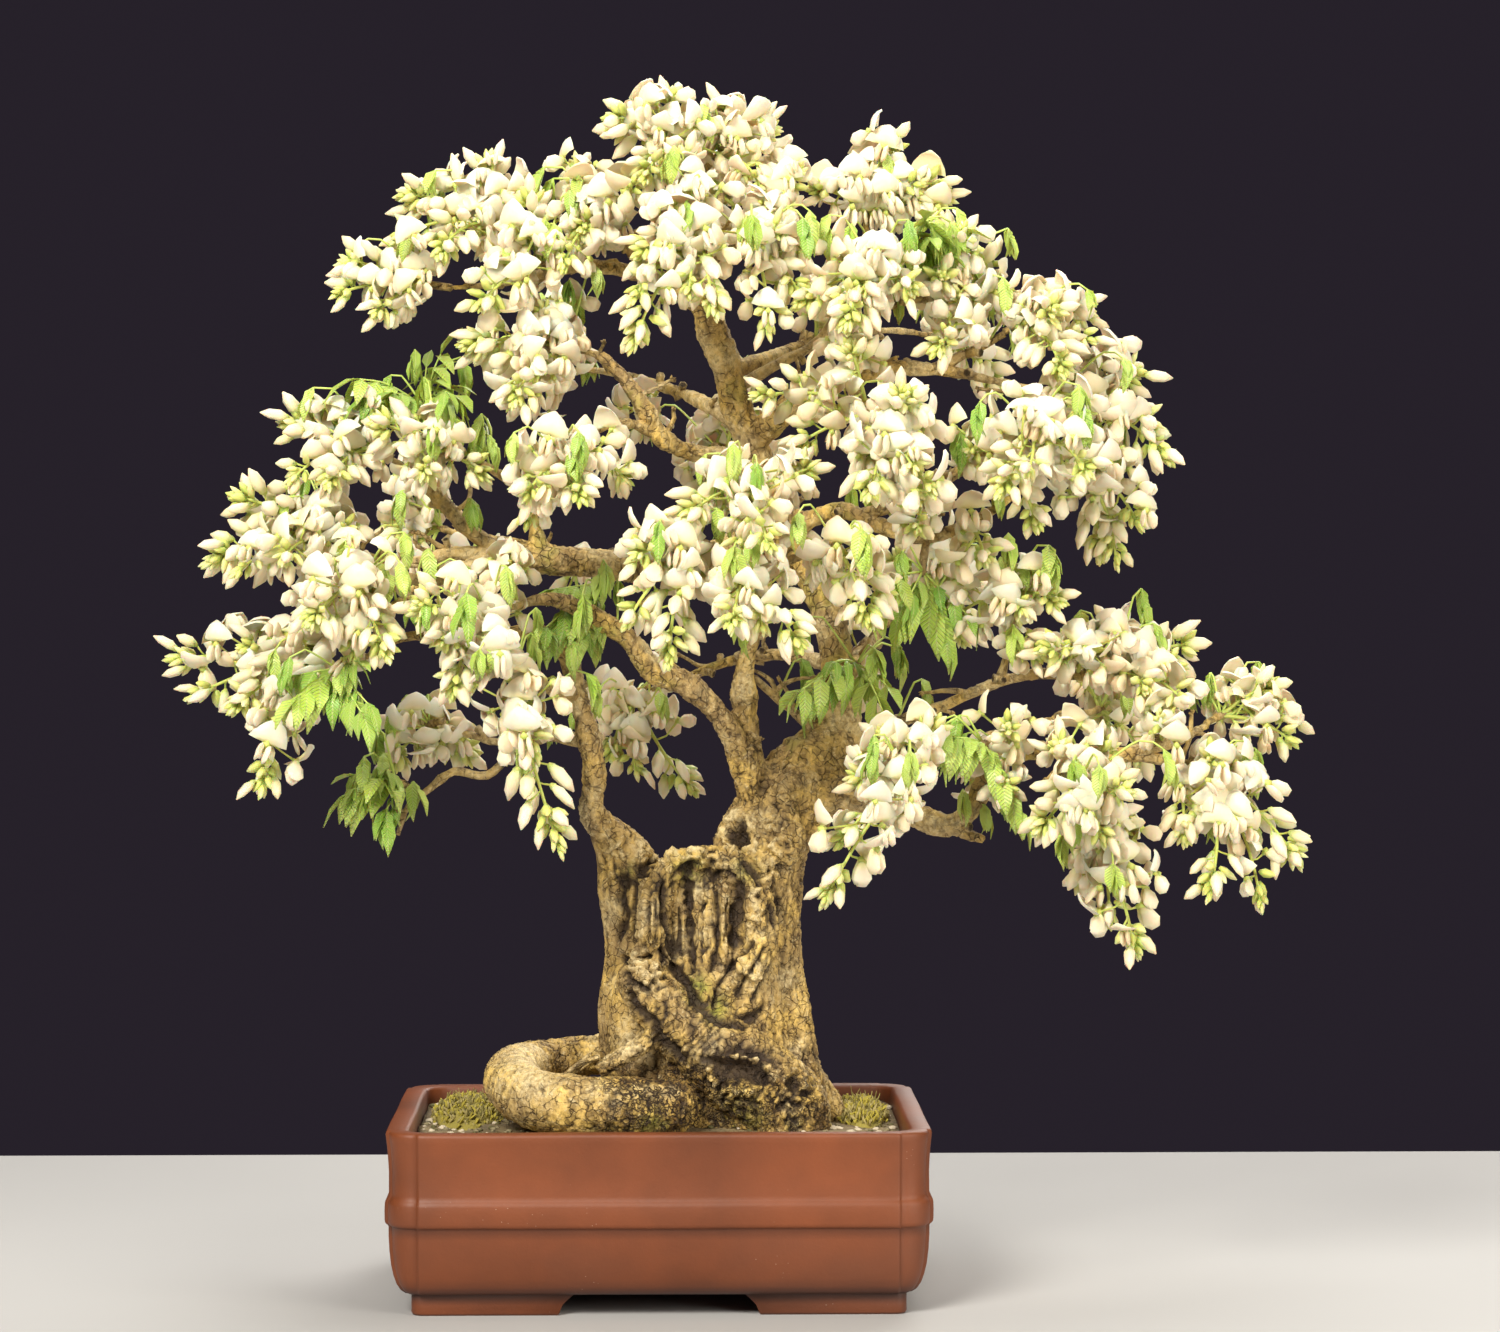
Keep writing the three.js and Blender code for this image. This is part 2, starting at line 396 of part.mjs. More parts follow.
function makeSoil(hollows) {
  const bottom = plainOutline(24.6, POT_FLOOR + GAP);
  const waist = plainOutline(15.6, 40);
  const edge = plainOutline(RIM_WIDTH + 0.6, SOIL_EDGE);
  const inner = [0.55].map((share) =>
    edge.map((p, i) => new THREE.Vector3(
      POT_X + (p.x - POT_X) * share,
      p.y * share,
      SOIL_CROWN - (SOIL_CROWN - SOIL_EDGE) * share * share + 1.2 * Math.sin(i * 2.1 + share * 9),
    )));
  return loft([bottom, waist, edge, ...inner]).subtract(joined(hollows));
}

// ---------------------------------------------------------------- wood

// The trunk, with folds that run up it and an old hollow in its front.
function trunkColumn(extra) {
  const sides = 20;
  const rings = TRUNK_SECTIONS.map(([z, left, right, depth], k) =>
    Array.from({ length: sides }, (_, i) => {
      const turn = (2 * Math.PI * i) / sides;
      const fold = 1 + 0.045 * Math.sin(5 * turn + 0.012 * z) + 0.035 * Math.cos(9 * turn - 0.02 * z);
      const front = Math.exp(-(((turn - 1.46 * Math.PI) / 0.42) ** 2));
      const hollow = 1 - 0.3 * front * Math.exp(-(((z - 256) / 34) ** 4));
      const reach = fold * hollow;
      return new THREE.Vector3(
        (left + right) / 2 + ((right - left) / 2 * reach + extra) * Math.cos(turn),
        (depth * reach + extra) * Math.sin(turn),
        z - (k === 0 ? extra : 0),
      );
    }));
  return loft(rings);
}

// What meets the soil: the column and the roots, made larger by extra.
const woodFoot = (extra) =>
  joined([trunkColumn(extra), ...Object.values(TRUNK_LUMPS).map((points) => limb(points, 6, extra))]);

const sidesOf = (points) => (points[0][3] > 14 ? 8 : points[0][3] > 8.5 ? 6 : points[0][3] > 5 ? 5 : 4);

// The nearest point to a spot on the middle line of any of the limbs.
function nearestOn(lines, spot) {
  let best = null;
  for (const points of lines) {
    for (let i = 0; i + 1 < points.length; i++) {
      const line = new THREE.Line3(vec(points[i]), vec(points[i + 1]));
      const share = line.closestPointToPointParameter(spot, true);
      const at = line.at(share, new THREE.Vector3());
      const distance = at.distanceTo(spot);
      const radius = THREE.MathUtils.lerp(points[i][3], points[i + 1][3], share);
      if (!best || distance < best.distance) best = { distance, at, radius };
    }
  }
  return best;
}

// The limbs with fewer points, each made to start on the middle line of the one that carries it.
const limbLines = [];
for (const points of Object.values(LIMBS)) {
  const line = thinned(points, 4.2);
  const start = limbLines.length ? nearestOn(limbLines, vec(line[0])) : null;
  if (start && start.distance < 16) line[0] = [...start.at.toArray(), Math.min(line[0][3], start.radius * 0.95)];
  limbLines.push(line);
}

// Which way a spur points: between its twig's own line and the line of what it carries.
function spurDirection(spot, tips) {
  const from = nearestOn(limbLines, spot).at;
  const own = spot.clone().sub(from).normalize();
  const mean = new THREE.Vector3();
  tips.forEach((tip) => mean.add(vec(tip).sub(spot).normalize()));
  return own.add(mean.divideScalar(tips.length)).add(new THREE.Vector3(0, 0, 0.15)).normalize();
}

// Takes a spur's wood out to it: the limb that ends close by runs on to it, or else a twig leaves the nearest limb.
const runsOn = new Map();

function carry(spot, direction) {
  const reach = spot.clone().addScaledVector(direction, -8);
  let end = null;
  for (const line of limbLines) {
    const distance = vec(line[line.length - 1]).distanceTo(spot);
    if (!runsOn.has(line) && distance < 30 && (!end || distance < end.distance)) end = { line, distance };
  }
  const last = end && vec(end.line[end.line.length - 1]);
  if (end && reach.clone().sub(last).dot(direction) > -2) {
    if (end.distance < 12) end.line.pop();
    end.line.push([...reach.toArray(), 2.5]);
    end.line.push([...spot.toArray(), 2.3]);
    runsOn.set(end.line, direction);
    return null;
  }
  const foot = nearestOn(limbLines, spot);
  return loft(ringsAlong([foot.at, reach, spot], [Math.min(foot.radius * 0.8, 2.8), 2.5, 2.3], 3, direction));
}

// ---------------------------------------------------------------- flowers and leaves

// Every solid that is in place, with the node and the stem that it belongs to.
const placed = [];

function place(solid, node, stem) {
  placed.push({ solid, box: solid.boundingBox(), node, stem });
  return solid;
}

// Whether a solid stays off all other nodes and, apart from a shared edge, off the rest of its own.
function isClear(rings, node, stem) {
  const [exact, wide] = [loft(rings), loft(grown(rings, 0.8))];
  const box = wide.boundingBox();
  return placed.every((other) => {
    for (let i = 0; i < 3; i++) {
      if (box.max[i] < other.box.min[i] || box.min[i] > other.box.max[i]) return true;
    }
    if (other.node !== node) return wide.intersect(other.solid).isEmpty();
    return other.stem === stem || exact.intersect(other.solid).volume() < 0.005;
  });
}

function grown(rings, amount) {
  const all = rings.flat();
  const middle = all.reduce((sum, p) => sum.add(p), new THREE.Vector3()).divideScalar(all.length);
  return rings.map((ring) => ring.map((p) => {
    const out = p.clone().sub(middle);
    return middle.clone().addScaledVector(out, 1 + amount / Math.max(out.length(), 4));
  }));
}

// Joins two loops of points that run the same way round, taking the shorter diagonal each time.
function stitch(points, lower, upper) {
  const distance = (i, j) => points[i].distanceTo(points[j]);
  const [n, m] = [lower.length, upper.length];
  let start = 0;
  for (let j = 1; j < m; j++) {
    const cost = (k) => distance(lower[0], upper[k]) + distance(lower[n >> 1], upper[(k + (m >> 1)) % m]);
    if (cost(j) < cost(start)) start = j;
  }
  const triangles = [];
  for (let i = 0, j = 0; i < n || j < m;) {
    const [l0, l1] = [lower[i % n], lower[(i + 1) % n]];
    const [u0, u1] = [upper[(start + j) % m], upper[(start + j + 1) % m]];
    if (j === m || (i < n && distance(l1, u0) <= distance(l0, u1))) {
      triangles.push(l0, l1, u0);
      i++;
    } else {
      triangles.push(l0, u1, u0);
      j++;
    }
  }
  return triangles;
}

// A three-sided stem whose faces are drawn out, here and there, into flowers, buds or leaflets. A growth names
// the length of stem and the face that it grows from, the ring of points it widens to, and its tip.
function branchedStem(rings, growths) {
  const points = rings.flat();
  const starts = [];
  rings.reduce((sum, ring) => (starts.push(sum), sum + ring.length), 0);
  const triangles = [];
  rings.slice(0, -1).forEach((ring, k) => {
    const single = rings[k + 1].length === 1;
    for (let i = 0; i < ring.length; i++) {
      const j = (i + 1) % ring.length;
      const [a0, a1] = [starts[k] + i, starts[k] + j];
      const base = single ? [a0, a1, starts[k + 1]] : [a0, a1, starts[k + 1] + j, starts[k + 1] + i];
      const growth = growths.find((g) => g.segment === k && g.face === i);
      if (!growth) {
        triangles.push(base[0], base[1], base[2]);
        if (!single) triangles.push(base[0], base[2], base[3]);
        continue;
      }
      const rim = growth.rim.map((p) => points.push(p) - 1);
      const tip = points.push(growth.tip) - 1;
      triangles.push(...stitch(points, base, rim));
      rim.forEach((p, r) => triangles.push(p, rim[(r + 1) % rim.length], tip));
    }
  });
  triangles.push(starts[0], starts[0] + 2, starts[0] + 1);
  return solidOf(new THREE.BufferGeometry().setFromPoints(points).setIndex(triangles));
}

function baseLoop(rings, segment, face) {
  const [lower, upper] = [rings[segment], rings[segment + 1]];
  const j = (face + 1) % lower.length;
  return upper.length === 1 ? [lower[face], lower[j], upper[0]] : [lower[face], lower[j], upper[j], upper[face]];
}

// The point a share of the way along a stem, which leaves along the spur and then bends to its tip.
function stemCurve(spot, direction, tip) {
  const start = spot.clone().addScaledVector(direction, SPUR_LENGTH * 0.5);
  const length = tip.distanceTo(start);
  const bend = start.clone().lerp(tip, 0.45).addScaledVector(direction, length * 0.16);
  bend.z += length * 0.1;
  return new THREE.QuadraticBezierCurve3(start, bend, tip);
}

// Turns a stem's tip about its spur, a little further each time, until the stem lies clear of its neighbours.
function clearStem(node, stem, spot, direction, tip, stations, radii) {
  const tries = [[0, 0, 1], [0.25, 0, 1], [-0.25, 0, 1], [0, 0.25, 1], [0, -0.25, 1], [0.45, 0, 0.9], [-0.45, 0, 0.9],
    [0, 0.45, 0.9], [0, -0.45, 0.9], [0.4, 0.4, 0.75], [-0.4, -0.4, 0.75], [0, 0, 0.6]];
  const away = tip.clone().sub(spot);
  const side = away.clone().cross(new THREE.Vector3(0.1, 0.2, 1)).normalize();
  const above = side.clone().cross(away).normalize();
  for (const [turn, lift, share] of tries) {
    const moved = spot.clone().add(away.clone()
      .applyAxisAngle(above, turn)
      .applyAxisAngle(side, lift)
      .multiplyScalar(share));
    const curve = stemCurve(spot, direction, moved);
    const path = stations.map((s) => curve.getPoint(s));
    const rings = ringsAlong(path, radii, 3);
    rings[rings.length - 1] = [path[path.length - 1]];
    const beyond = rings.slice(1);
    if (isClear(beyond, node, stem)) {
      place(loft(beyond), node, stem);
      return { curve, rings };
    }
  }
  throw new Error(`${stem} has no clear place`);
}

// Adds a growth from one face of a stem, turned or shortened a little each time until it lies clear.
function addGrowth(node, stem, growths, rings, segment, face, shapeFor) {
  const base = baseLoop(rings, segment, face);
  const root = base.reduce((sum, p) => sum.add(p), new THREE.Vector3()).divideScalar(base.length);
  const facing = base[1].clone().sub(base[0]).cross(base[2].clone().sub(base[0])).normalize();
  for (const [shift, share] of [[0, 1], [0.35, 1], [-0.35, 1], [0, 0.8], [0.5, 0.8], [-0.5, 0.8], [0, 0.62], [0.4, 0.5],
    [-0.4, 0.5]]) {
    const { rim, tip } = shapeFor(root, facing, shift, share);
    const rings = [base, rim, [tip]];
    const triangles = [];
    const points = [...base, ...rim, tip, root];
    const [n, m] = [base.length, rim.length];
    triangles.push(...stitch(points, base.map((_, i) => i), rim.map((_, i) => n + i)));
    rim.forEach((_, i) => triangles.push(n + i, n + ((i + 1) % m), n + m));
    base.forEach((_, i) => triangles.push((i + 1) % n, i, n + m + 1));
    const shape = solidOf(new THREE.BufferGeometry().setFromPoints(points).setIndex(triangles));
    if (isClearShape(shape, points, triangles, node, stem)) {
      place(shape, node, stem + " growth");
      growths.push({ segment, face, rim, tip });
      return;
    }
  }
}

function isClearShape(shape, points, triangles, node, stem) {
  const [spread] = grown([points], 0.8);
  const wide = solidOf(new THREE.BufferGeometry().setFromPoints(spread).setIndex(triangles));
  const box = wide.boundingBox();
  return placed.every((other) => {
    for (let i = 0; i < 3; i++) {
      if (box.max[i] < other.box.min[i] || box.min[i] > other.box.max[i]) return true;
    }
    if (other.node !== node) return wide.intersect(other.solid).isEmpty();
    return shape.intersect(other.solid).volume() < (other.stem === stem ? 1 : 0.005);
  });
}

// An open pea flower: a broad upright banner, two small wings under it, and the keel drawn out in front.
function openFlower(root, facing, shift, reach) {
  const out = facing.clone().applyAxisAngle(new THREE.Vector3(0, 0, 1), shift);
  out.z += 0.1;
  out.normalize();
  const up = new THREE.Vector3(0, 0, 1).addScaledVector(out, -out.z).normalize();
  const across = out.clone().cross(up).normalize();
  const banner = root.clone().addScaledVector(out, reach * 0.56);
  const rim = [[0.54, 0], [0.22, 0.54], [-0.36, 0.3], [-0.36, -0.3], [0.22, -0.54]]
    .map(([u, v]) => banner.clone().addScaledVector(up, u * reach).addScaledVector(across, v * reach));
  return { rim, tip: root.clone().addScaledVector(out, reach * 0.98).addScaledVector(up, -0.26 * reach) };
}

function bud(root, facing, along, shift, reach) {
  const out = facing.clone().addScaledVector(along, 0.8).applyAxisAngle(along, shift).normalize();
  const across = out.clone().cross(along).normalize();
  const above = across.clone().cross(out).normalize();
  const widest = root.clone().addScaledVector(out, reach * 0.55);
  const rim = [0, 1, 2].map((k) => {
    const turn = (2 * Math.PI * k) / 3;
    return widest.clone()
      .addScaledVector(above, reach * 0.27 * Math.cos(turn))
      .addScaledVector(across, -reach * 0.27 * Math.sin(turn));
  });
  return { rim, tip: root.clone().addScaledVector(out, reach) };
}

const RACEME_STATIONS = [0, 0.17, 0.36, 0.55, 0.77, 1];
// The length of stem and the face that each flower and bud of a raceme grows from.
const FLOWER_PLACES = [[1, 0], [1, 1], [2, 2], [2, 0]];
const BUD_PLACES = [[3, 1], [3, 2], [4, 0]];

const racemeStem = (node, index, spot, direction, [x, y, z, halfWidth]) => ({
  halfWidth,
  ...clearStem(node, node + index, spot, direction, new THREE.Vector3(x, y, z), RACEME_STATIONS,
    [1.9, 2.6, 4.4, 4.2, 3.6, 1]),
});

function makeRaceme(node, index, found) {
  const { halfWidth } = found;
  const stem = node + index;
  const growths = [];
  const flowers = halfWidth > 19.5 ? FLOWER_PLACES : FLOWER_PLACES.slice(0, 3);
  for (const [segment, face] of flowers) {
    addGrowth(node, stem, growths, found.rings, segment, (face + index) % 3, (root, facing, shift, share) =>
      openFlower(root, facing, shift, (halfWidth * 1.2 + 7) * share));
  }
  const buds = halfWidth > 22.5 ? BUD_PLACES : BUD_PLACES.slice(1);
  for (const [segment, face] of buds) {
    const along = found.curve.getTangent(RACEME_STATIONS[segment]);
    addGrowth(node, stem, growths, found.rings, segment, (face + index) % 3, (root, facing, shift, share) =>
      bud(root, facing, along, shift, (halfWidth * 0.8 + 9) * share));
  }
  return branchedStem(found.rings, growths);
}

function spurSolid(node, spot, direction) {
  const path = [GAP, SPUR_LENGTH].map((s) => spot.clone().addScaledVector(direction, s));
  return place(loft(ringsAlong(path, [3.6, 2.9], 3)), node, "spur");
}

// Sets out a spray's or shoot's spur and stems. Their flowers or leaflets follow once all stems are in place.
function setOut(node, [at, ...tips], direction, stemFor) {
  const spot = vec(at);
  return { node, spur: spurSolid(node, spot, direction), stems: tips.map((tip, i) => stemFor(node, i, spot, direction, tip)) };
}

function finish({ node, spur, stems }, grow) {
  return biggest(joined([spur, ...stems.map((stem, i) => grow(node, i, stem))]));
}

const FROND_STATIONS = [0, 0.34, 0.46, 0.7, 0.82, 1];

const frondStem = (node, index, spot, direction, tip) =>
  clearStem(node, node + index, spot, direction, vec(tip), FROND_STATIONS, [1.6, 1.5, 1.4, 1.3, 1.2, 0.8]);

// A feathered leaf: pairs of thin pointed leaflets along a fine rib, and one more at its end.
function makeFrond(node, index, found) {
  const stem = node + index;
  const growths = [];
  const down = new THREE.Vector3(0, 0, -1);
  for (const [segment, face] of [[1, 0], [1, 1], [3, 1], [3, 2], [4, 0]]) {
    const along = found.curve.getTangent(FROND_STATIONS[segment]);
    addGrowth(node, stem, growths, found.rings, segment, (face + index) % 3, (root, facing, shift, share) => {
      const out = facing.clone()
        .addScaledVector(down, 0.5)
        .addScaledVector(along, (segment === 4 ? 1.6 : 0.5) + shift)
        .normalize();
      const across = out.clone().cross(facing.clone().cross(along)).cross(out).normalize();
      const face3 = out.clone().cross(across).normalize();
      const length = (37 - segment * 2) * share;
      const middle = root.clone().addScaledVector(out, length * 0.45);
      const rim = [[0.27 * length, 0], [0, 1.1], [-0.27 * length, 0], [0, -1.1]]
        .map(([u, v]) => middle.clone().addScaledVector(across, u).addScaledVector(face3, v));
      return { rim, tip: root.clone().addScaledVector(out, length) };
    });
  }
  return branchedStem(found.rings, growths);
}

// ---------------------------------------------------------------- the object

const MATERIALS = {
  stoneware: new THREE.MeshStandardMaterial({ color: 0x8a4a35, roughness: 0.62 }),
  soil: new THREE.MeshStandardMaterial({ color: 0x6f5a3c, roughness: 0.95 }),
  moss: new THREE.MeshStandardMaterial({ color: 0xa2953a, roughness: 0.95 }),
  bark: new THREE.MeshStandardMaterial({ color: 0x8b6f45, roughness: 0.9 }),
  screen: new THREE.MeshStandardMaterial({ color: 0x1f1f1f, roughness: 0.6 }),
  blossom: new THREE.MeshStandardMaterial({ color: 0xf6edd6, roughness: 0.55 }),
  leaf: new THREE.MeshStandardMaterial({ color: 0x7fae3a, roughness: 0.5 }),
};

const bonsai = new THREE.Group();

function addNode(name, solid, material) {
  const mesh = new THREE.Mesh(geometryOf(solid), material);
  mesh.geometry.computeVertexNormals();
  mesh.name = name;
  bonsai.add(mesh);
}

// A join's one outer body, without the slivers that joining leaves.
const biggest = (solid) =>
  solid.simplify(0.06).decompose().reduce((best, piece) => (piece.volume() > best.volume() ? piece : best));

const carried = [...Object.values(SPRAYS), ...Object.values(SHOOTS)];
const directions = carried.map(([at, ...tips]) => spurDirection(vec(at), tips));
const twigs = carried.map(([at], i) => carry(vec(at), directions[i])).filter(Boolean);
const limbs = limbLines.map((points) => limb(points, sidesOf(points), 0, runsOn.get(points)));
const footSolid = woodFoot(0);
const woodClear = woodFoot(GAP + 0.1);
[footSolid, ...limbs, ...twigs].forEach((solid) => place(solid, "wood", "wood"));

addNode("pot", makePot(), MATERIALS.stoneware);
for (const [name, side] of [["screen_left", -1], ["screen_right", 1]]) {
  addNode(name, makeScreen(side), MATERIALS.screen);
}
const cushions = Object.values(MOSS).map(([at, size]) => mossCushion(at, size, GAP));
const screenRoom = [-1, 1].map((side) =>
  slab(SCREEN_SIZE + 1, SCREEN_SIZE + 1, POT_FLOOR - 1, POT_FLOOR + SCREEN_THICKNESS + 2 * GAP,
    POT_X + side * HOLE_OFFSET, 0));
addNode("soil", biggest(makeSoil([woodClear, ...cushions, ...screenRoom])), MATERIALS.soil);
for (const [name, [at, size]] of Object.entries(MOSS)) {
  addNode(name, biggest(mossCushion(at, size, 0).subtract(woodClear)), MATERIALS.moss);
}
const wood = joined([footSolid, ...limbs, ...twigs]);
addNode("wood", biggest(wood), MATERIALS.bark);
const sprays = Object.entries(SPRAYS).map(([name, row], i) => setOut(name, row, directions[i], racemeStem));
const shoots = Object.entries(SHOOTS).map(([name, row], i) =>
  setOut(name, row, directions[sprays.length + i], frondStem));
for (const spray of sprays) addNode("blossom_" + spray.node, finish(spray, makeRaceme), MATERIALS.blossom);
for (const shoot of shoots) addNode(shoot.node, finish(shoot, makeFrond), MATERIALS.leaf);

// All the tables above are set out from the pot. The origin moves to under the middle of the whole object.
const middle = new THREE.Box3().setFromObject(bonsai).getCenter(new THREE.Vector3());
bonsai.position.set(-middle.x, -middle.y, 0);

export default bonsai;
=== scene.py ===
"""A white-flowered wisteria bonsai in an unglazed rectangular pot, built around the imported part.

The tables are in millimetres, measured from the pot. A mesh is turned into metres when it is made.
"""
import math
import random

import bpy
import numpy as np
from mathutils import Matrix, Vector, noise


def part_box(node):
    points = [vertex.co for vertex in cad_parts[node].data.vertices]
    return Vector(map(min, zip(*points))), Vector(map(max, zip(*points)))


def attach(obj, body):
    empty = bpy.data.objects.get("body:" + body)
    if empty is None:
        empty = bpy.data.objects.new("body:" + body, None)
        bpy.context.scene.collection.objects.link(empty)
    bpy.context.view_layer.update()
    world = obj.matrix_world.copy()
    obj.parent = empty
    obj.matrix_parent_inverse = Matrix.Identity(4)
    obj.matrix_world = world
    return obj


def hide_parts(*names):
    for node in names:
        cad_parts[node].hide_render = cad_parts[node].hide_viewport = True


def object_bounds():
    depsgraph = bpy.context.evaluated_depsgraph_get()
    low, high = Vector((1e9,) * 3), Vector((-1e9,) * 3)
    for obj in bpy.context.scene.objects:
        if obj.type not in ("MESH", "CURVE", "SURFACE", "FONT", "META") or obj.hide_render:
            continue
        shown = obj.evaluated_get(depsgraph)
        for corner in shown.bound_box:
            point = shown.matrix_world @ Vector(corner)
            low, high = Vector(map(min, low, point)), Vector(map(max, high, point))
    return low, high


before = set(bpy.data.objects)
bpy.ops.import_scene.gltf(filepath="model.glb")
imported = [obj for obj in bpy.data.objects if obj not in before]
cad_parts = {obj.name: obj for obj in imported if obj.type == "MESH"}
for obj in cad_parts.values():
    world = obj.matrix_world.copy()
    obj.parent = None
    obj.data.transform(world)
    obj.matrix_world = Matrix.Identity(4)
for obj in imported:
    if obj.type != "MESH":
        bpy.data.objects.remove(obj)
CAD_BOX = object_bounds()

# Without a seed, a noise of vectors differs from run to run.
noise.seed_set(11)

bpy.context.scene.view_settings.view_transform = "Standard"

GOLDEN_ANGLE = math.pi * (3 - math.sqrt(5))
UP = np.array([0.0, 0.0, 1.0])

# The tables are set out from the pot. HOME moves everything with it to its place in the part's frame.
POT_X, POT_HALF_X, POT_HALF_Y, POT_HEIGHT = -51, 181, 136, 122
POT_LOW, POT_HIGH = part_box("pot")
HOME = np.array([(POT_LOW.x + POT_HIGH.x) * 500 - POT_X, (POT_LOW.y + POT_HIGH.y) * 500, 0])

# The stalks of single flowers and leaves end within these corners, so that the tree keeps its size.
REACH_MARGIN = 10
REACH_LOW = np.array(CAD_BOX[0]) * 1000 - HOME + REACH_MARGIN
REACH_HIGH = np.array(CAD_BOX[1]) * 1000 - HOME - REACH_MARGIN

# The finishes of a spray or a shoot, by their numbers in its mesh.
PETAL_KIND, LEAF_KIND, BARK_KIND = 0, 1, 2

# ---------------------------------------------------------------- the tree's measures

# The trunk's level sections: height, left side, right side, half depth.
TRUNK_SECTIONS = [
    (92, -86, 62, 56), (112, -92, 66, 59), (140, -92, 62, 57), (170, -93, 55, 54), (197, -92, 49, 51),
    (228, -86, 44, 49), (258, -88, 44, 50), (281, -91, 46, 46), (293, -82, 40, 34),
]

# Thick roots, burrs and shoulders on the trunk: x, y, z and radius at each point along them.
TRUNK_LUMPS = {
    "looped_root": [[-27, -71, 131, 6], [-29, -72, 131, 13], [-35, -73, 132, 18.5], [-46, -77, 132, 20.5],
        [-66, -82, 133, 21], [-104, -86, 134, 21], [-134, -78, 138, 20.5], [-150, -50, 145, 19.5],
        [-149, -12, 150, 18], [-128, 22, 152, 15.5], [-92, 36, 155, 14], [-60, 34, 158, 13]],
    "burr": [[-67, -48, 226, 12], [-65, -49, 219, 17], [-57, -48, 206, 18.5], [-38, -50, 186, 22],
        [-4, -50, 160, 30], [30, -44, 128, 33], [34, -40, 100, 33]],
    "bridge_root": [[-46, -50, 181, 8], [-58, -58, 175, 7.5], [-78, -62, 163, 6.5], [-92, -60, 154, 6]],
    "left_shoulder": [[-56, -4, 240, 30], [-68, -6, 276, 26], [-79, -11, 302, 17], [-90, -18, 318, 11]],
    "right_shoulder": [[6, -4, 236, 36], [12, -4, 276, 35], [26, -2, 318, 31], [44, 4, 346, 27]],
    "hollow_lip": [[-50, -34, 226, 12], [-54, -40, 258, 12], [-44, -34, 288, 10], [-18, -33, 297, 9],
        [6, -40, 286, 12], [18, -42, 250, 13], [12, -42, 216, 12]],
    "eye_burr": [[30, -26, 296, 12], [38, -30, 312, 12], [34, -24, 330, 9]],
    "back_root": [[20, 46, 150, 20], [44, 70, 126, 17], [58, 88, 108, 14]],
    "right_root": [[40, 6, 140, 22], [58, 8, 118, 20], [68, 10, 100, 17]],
}

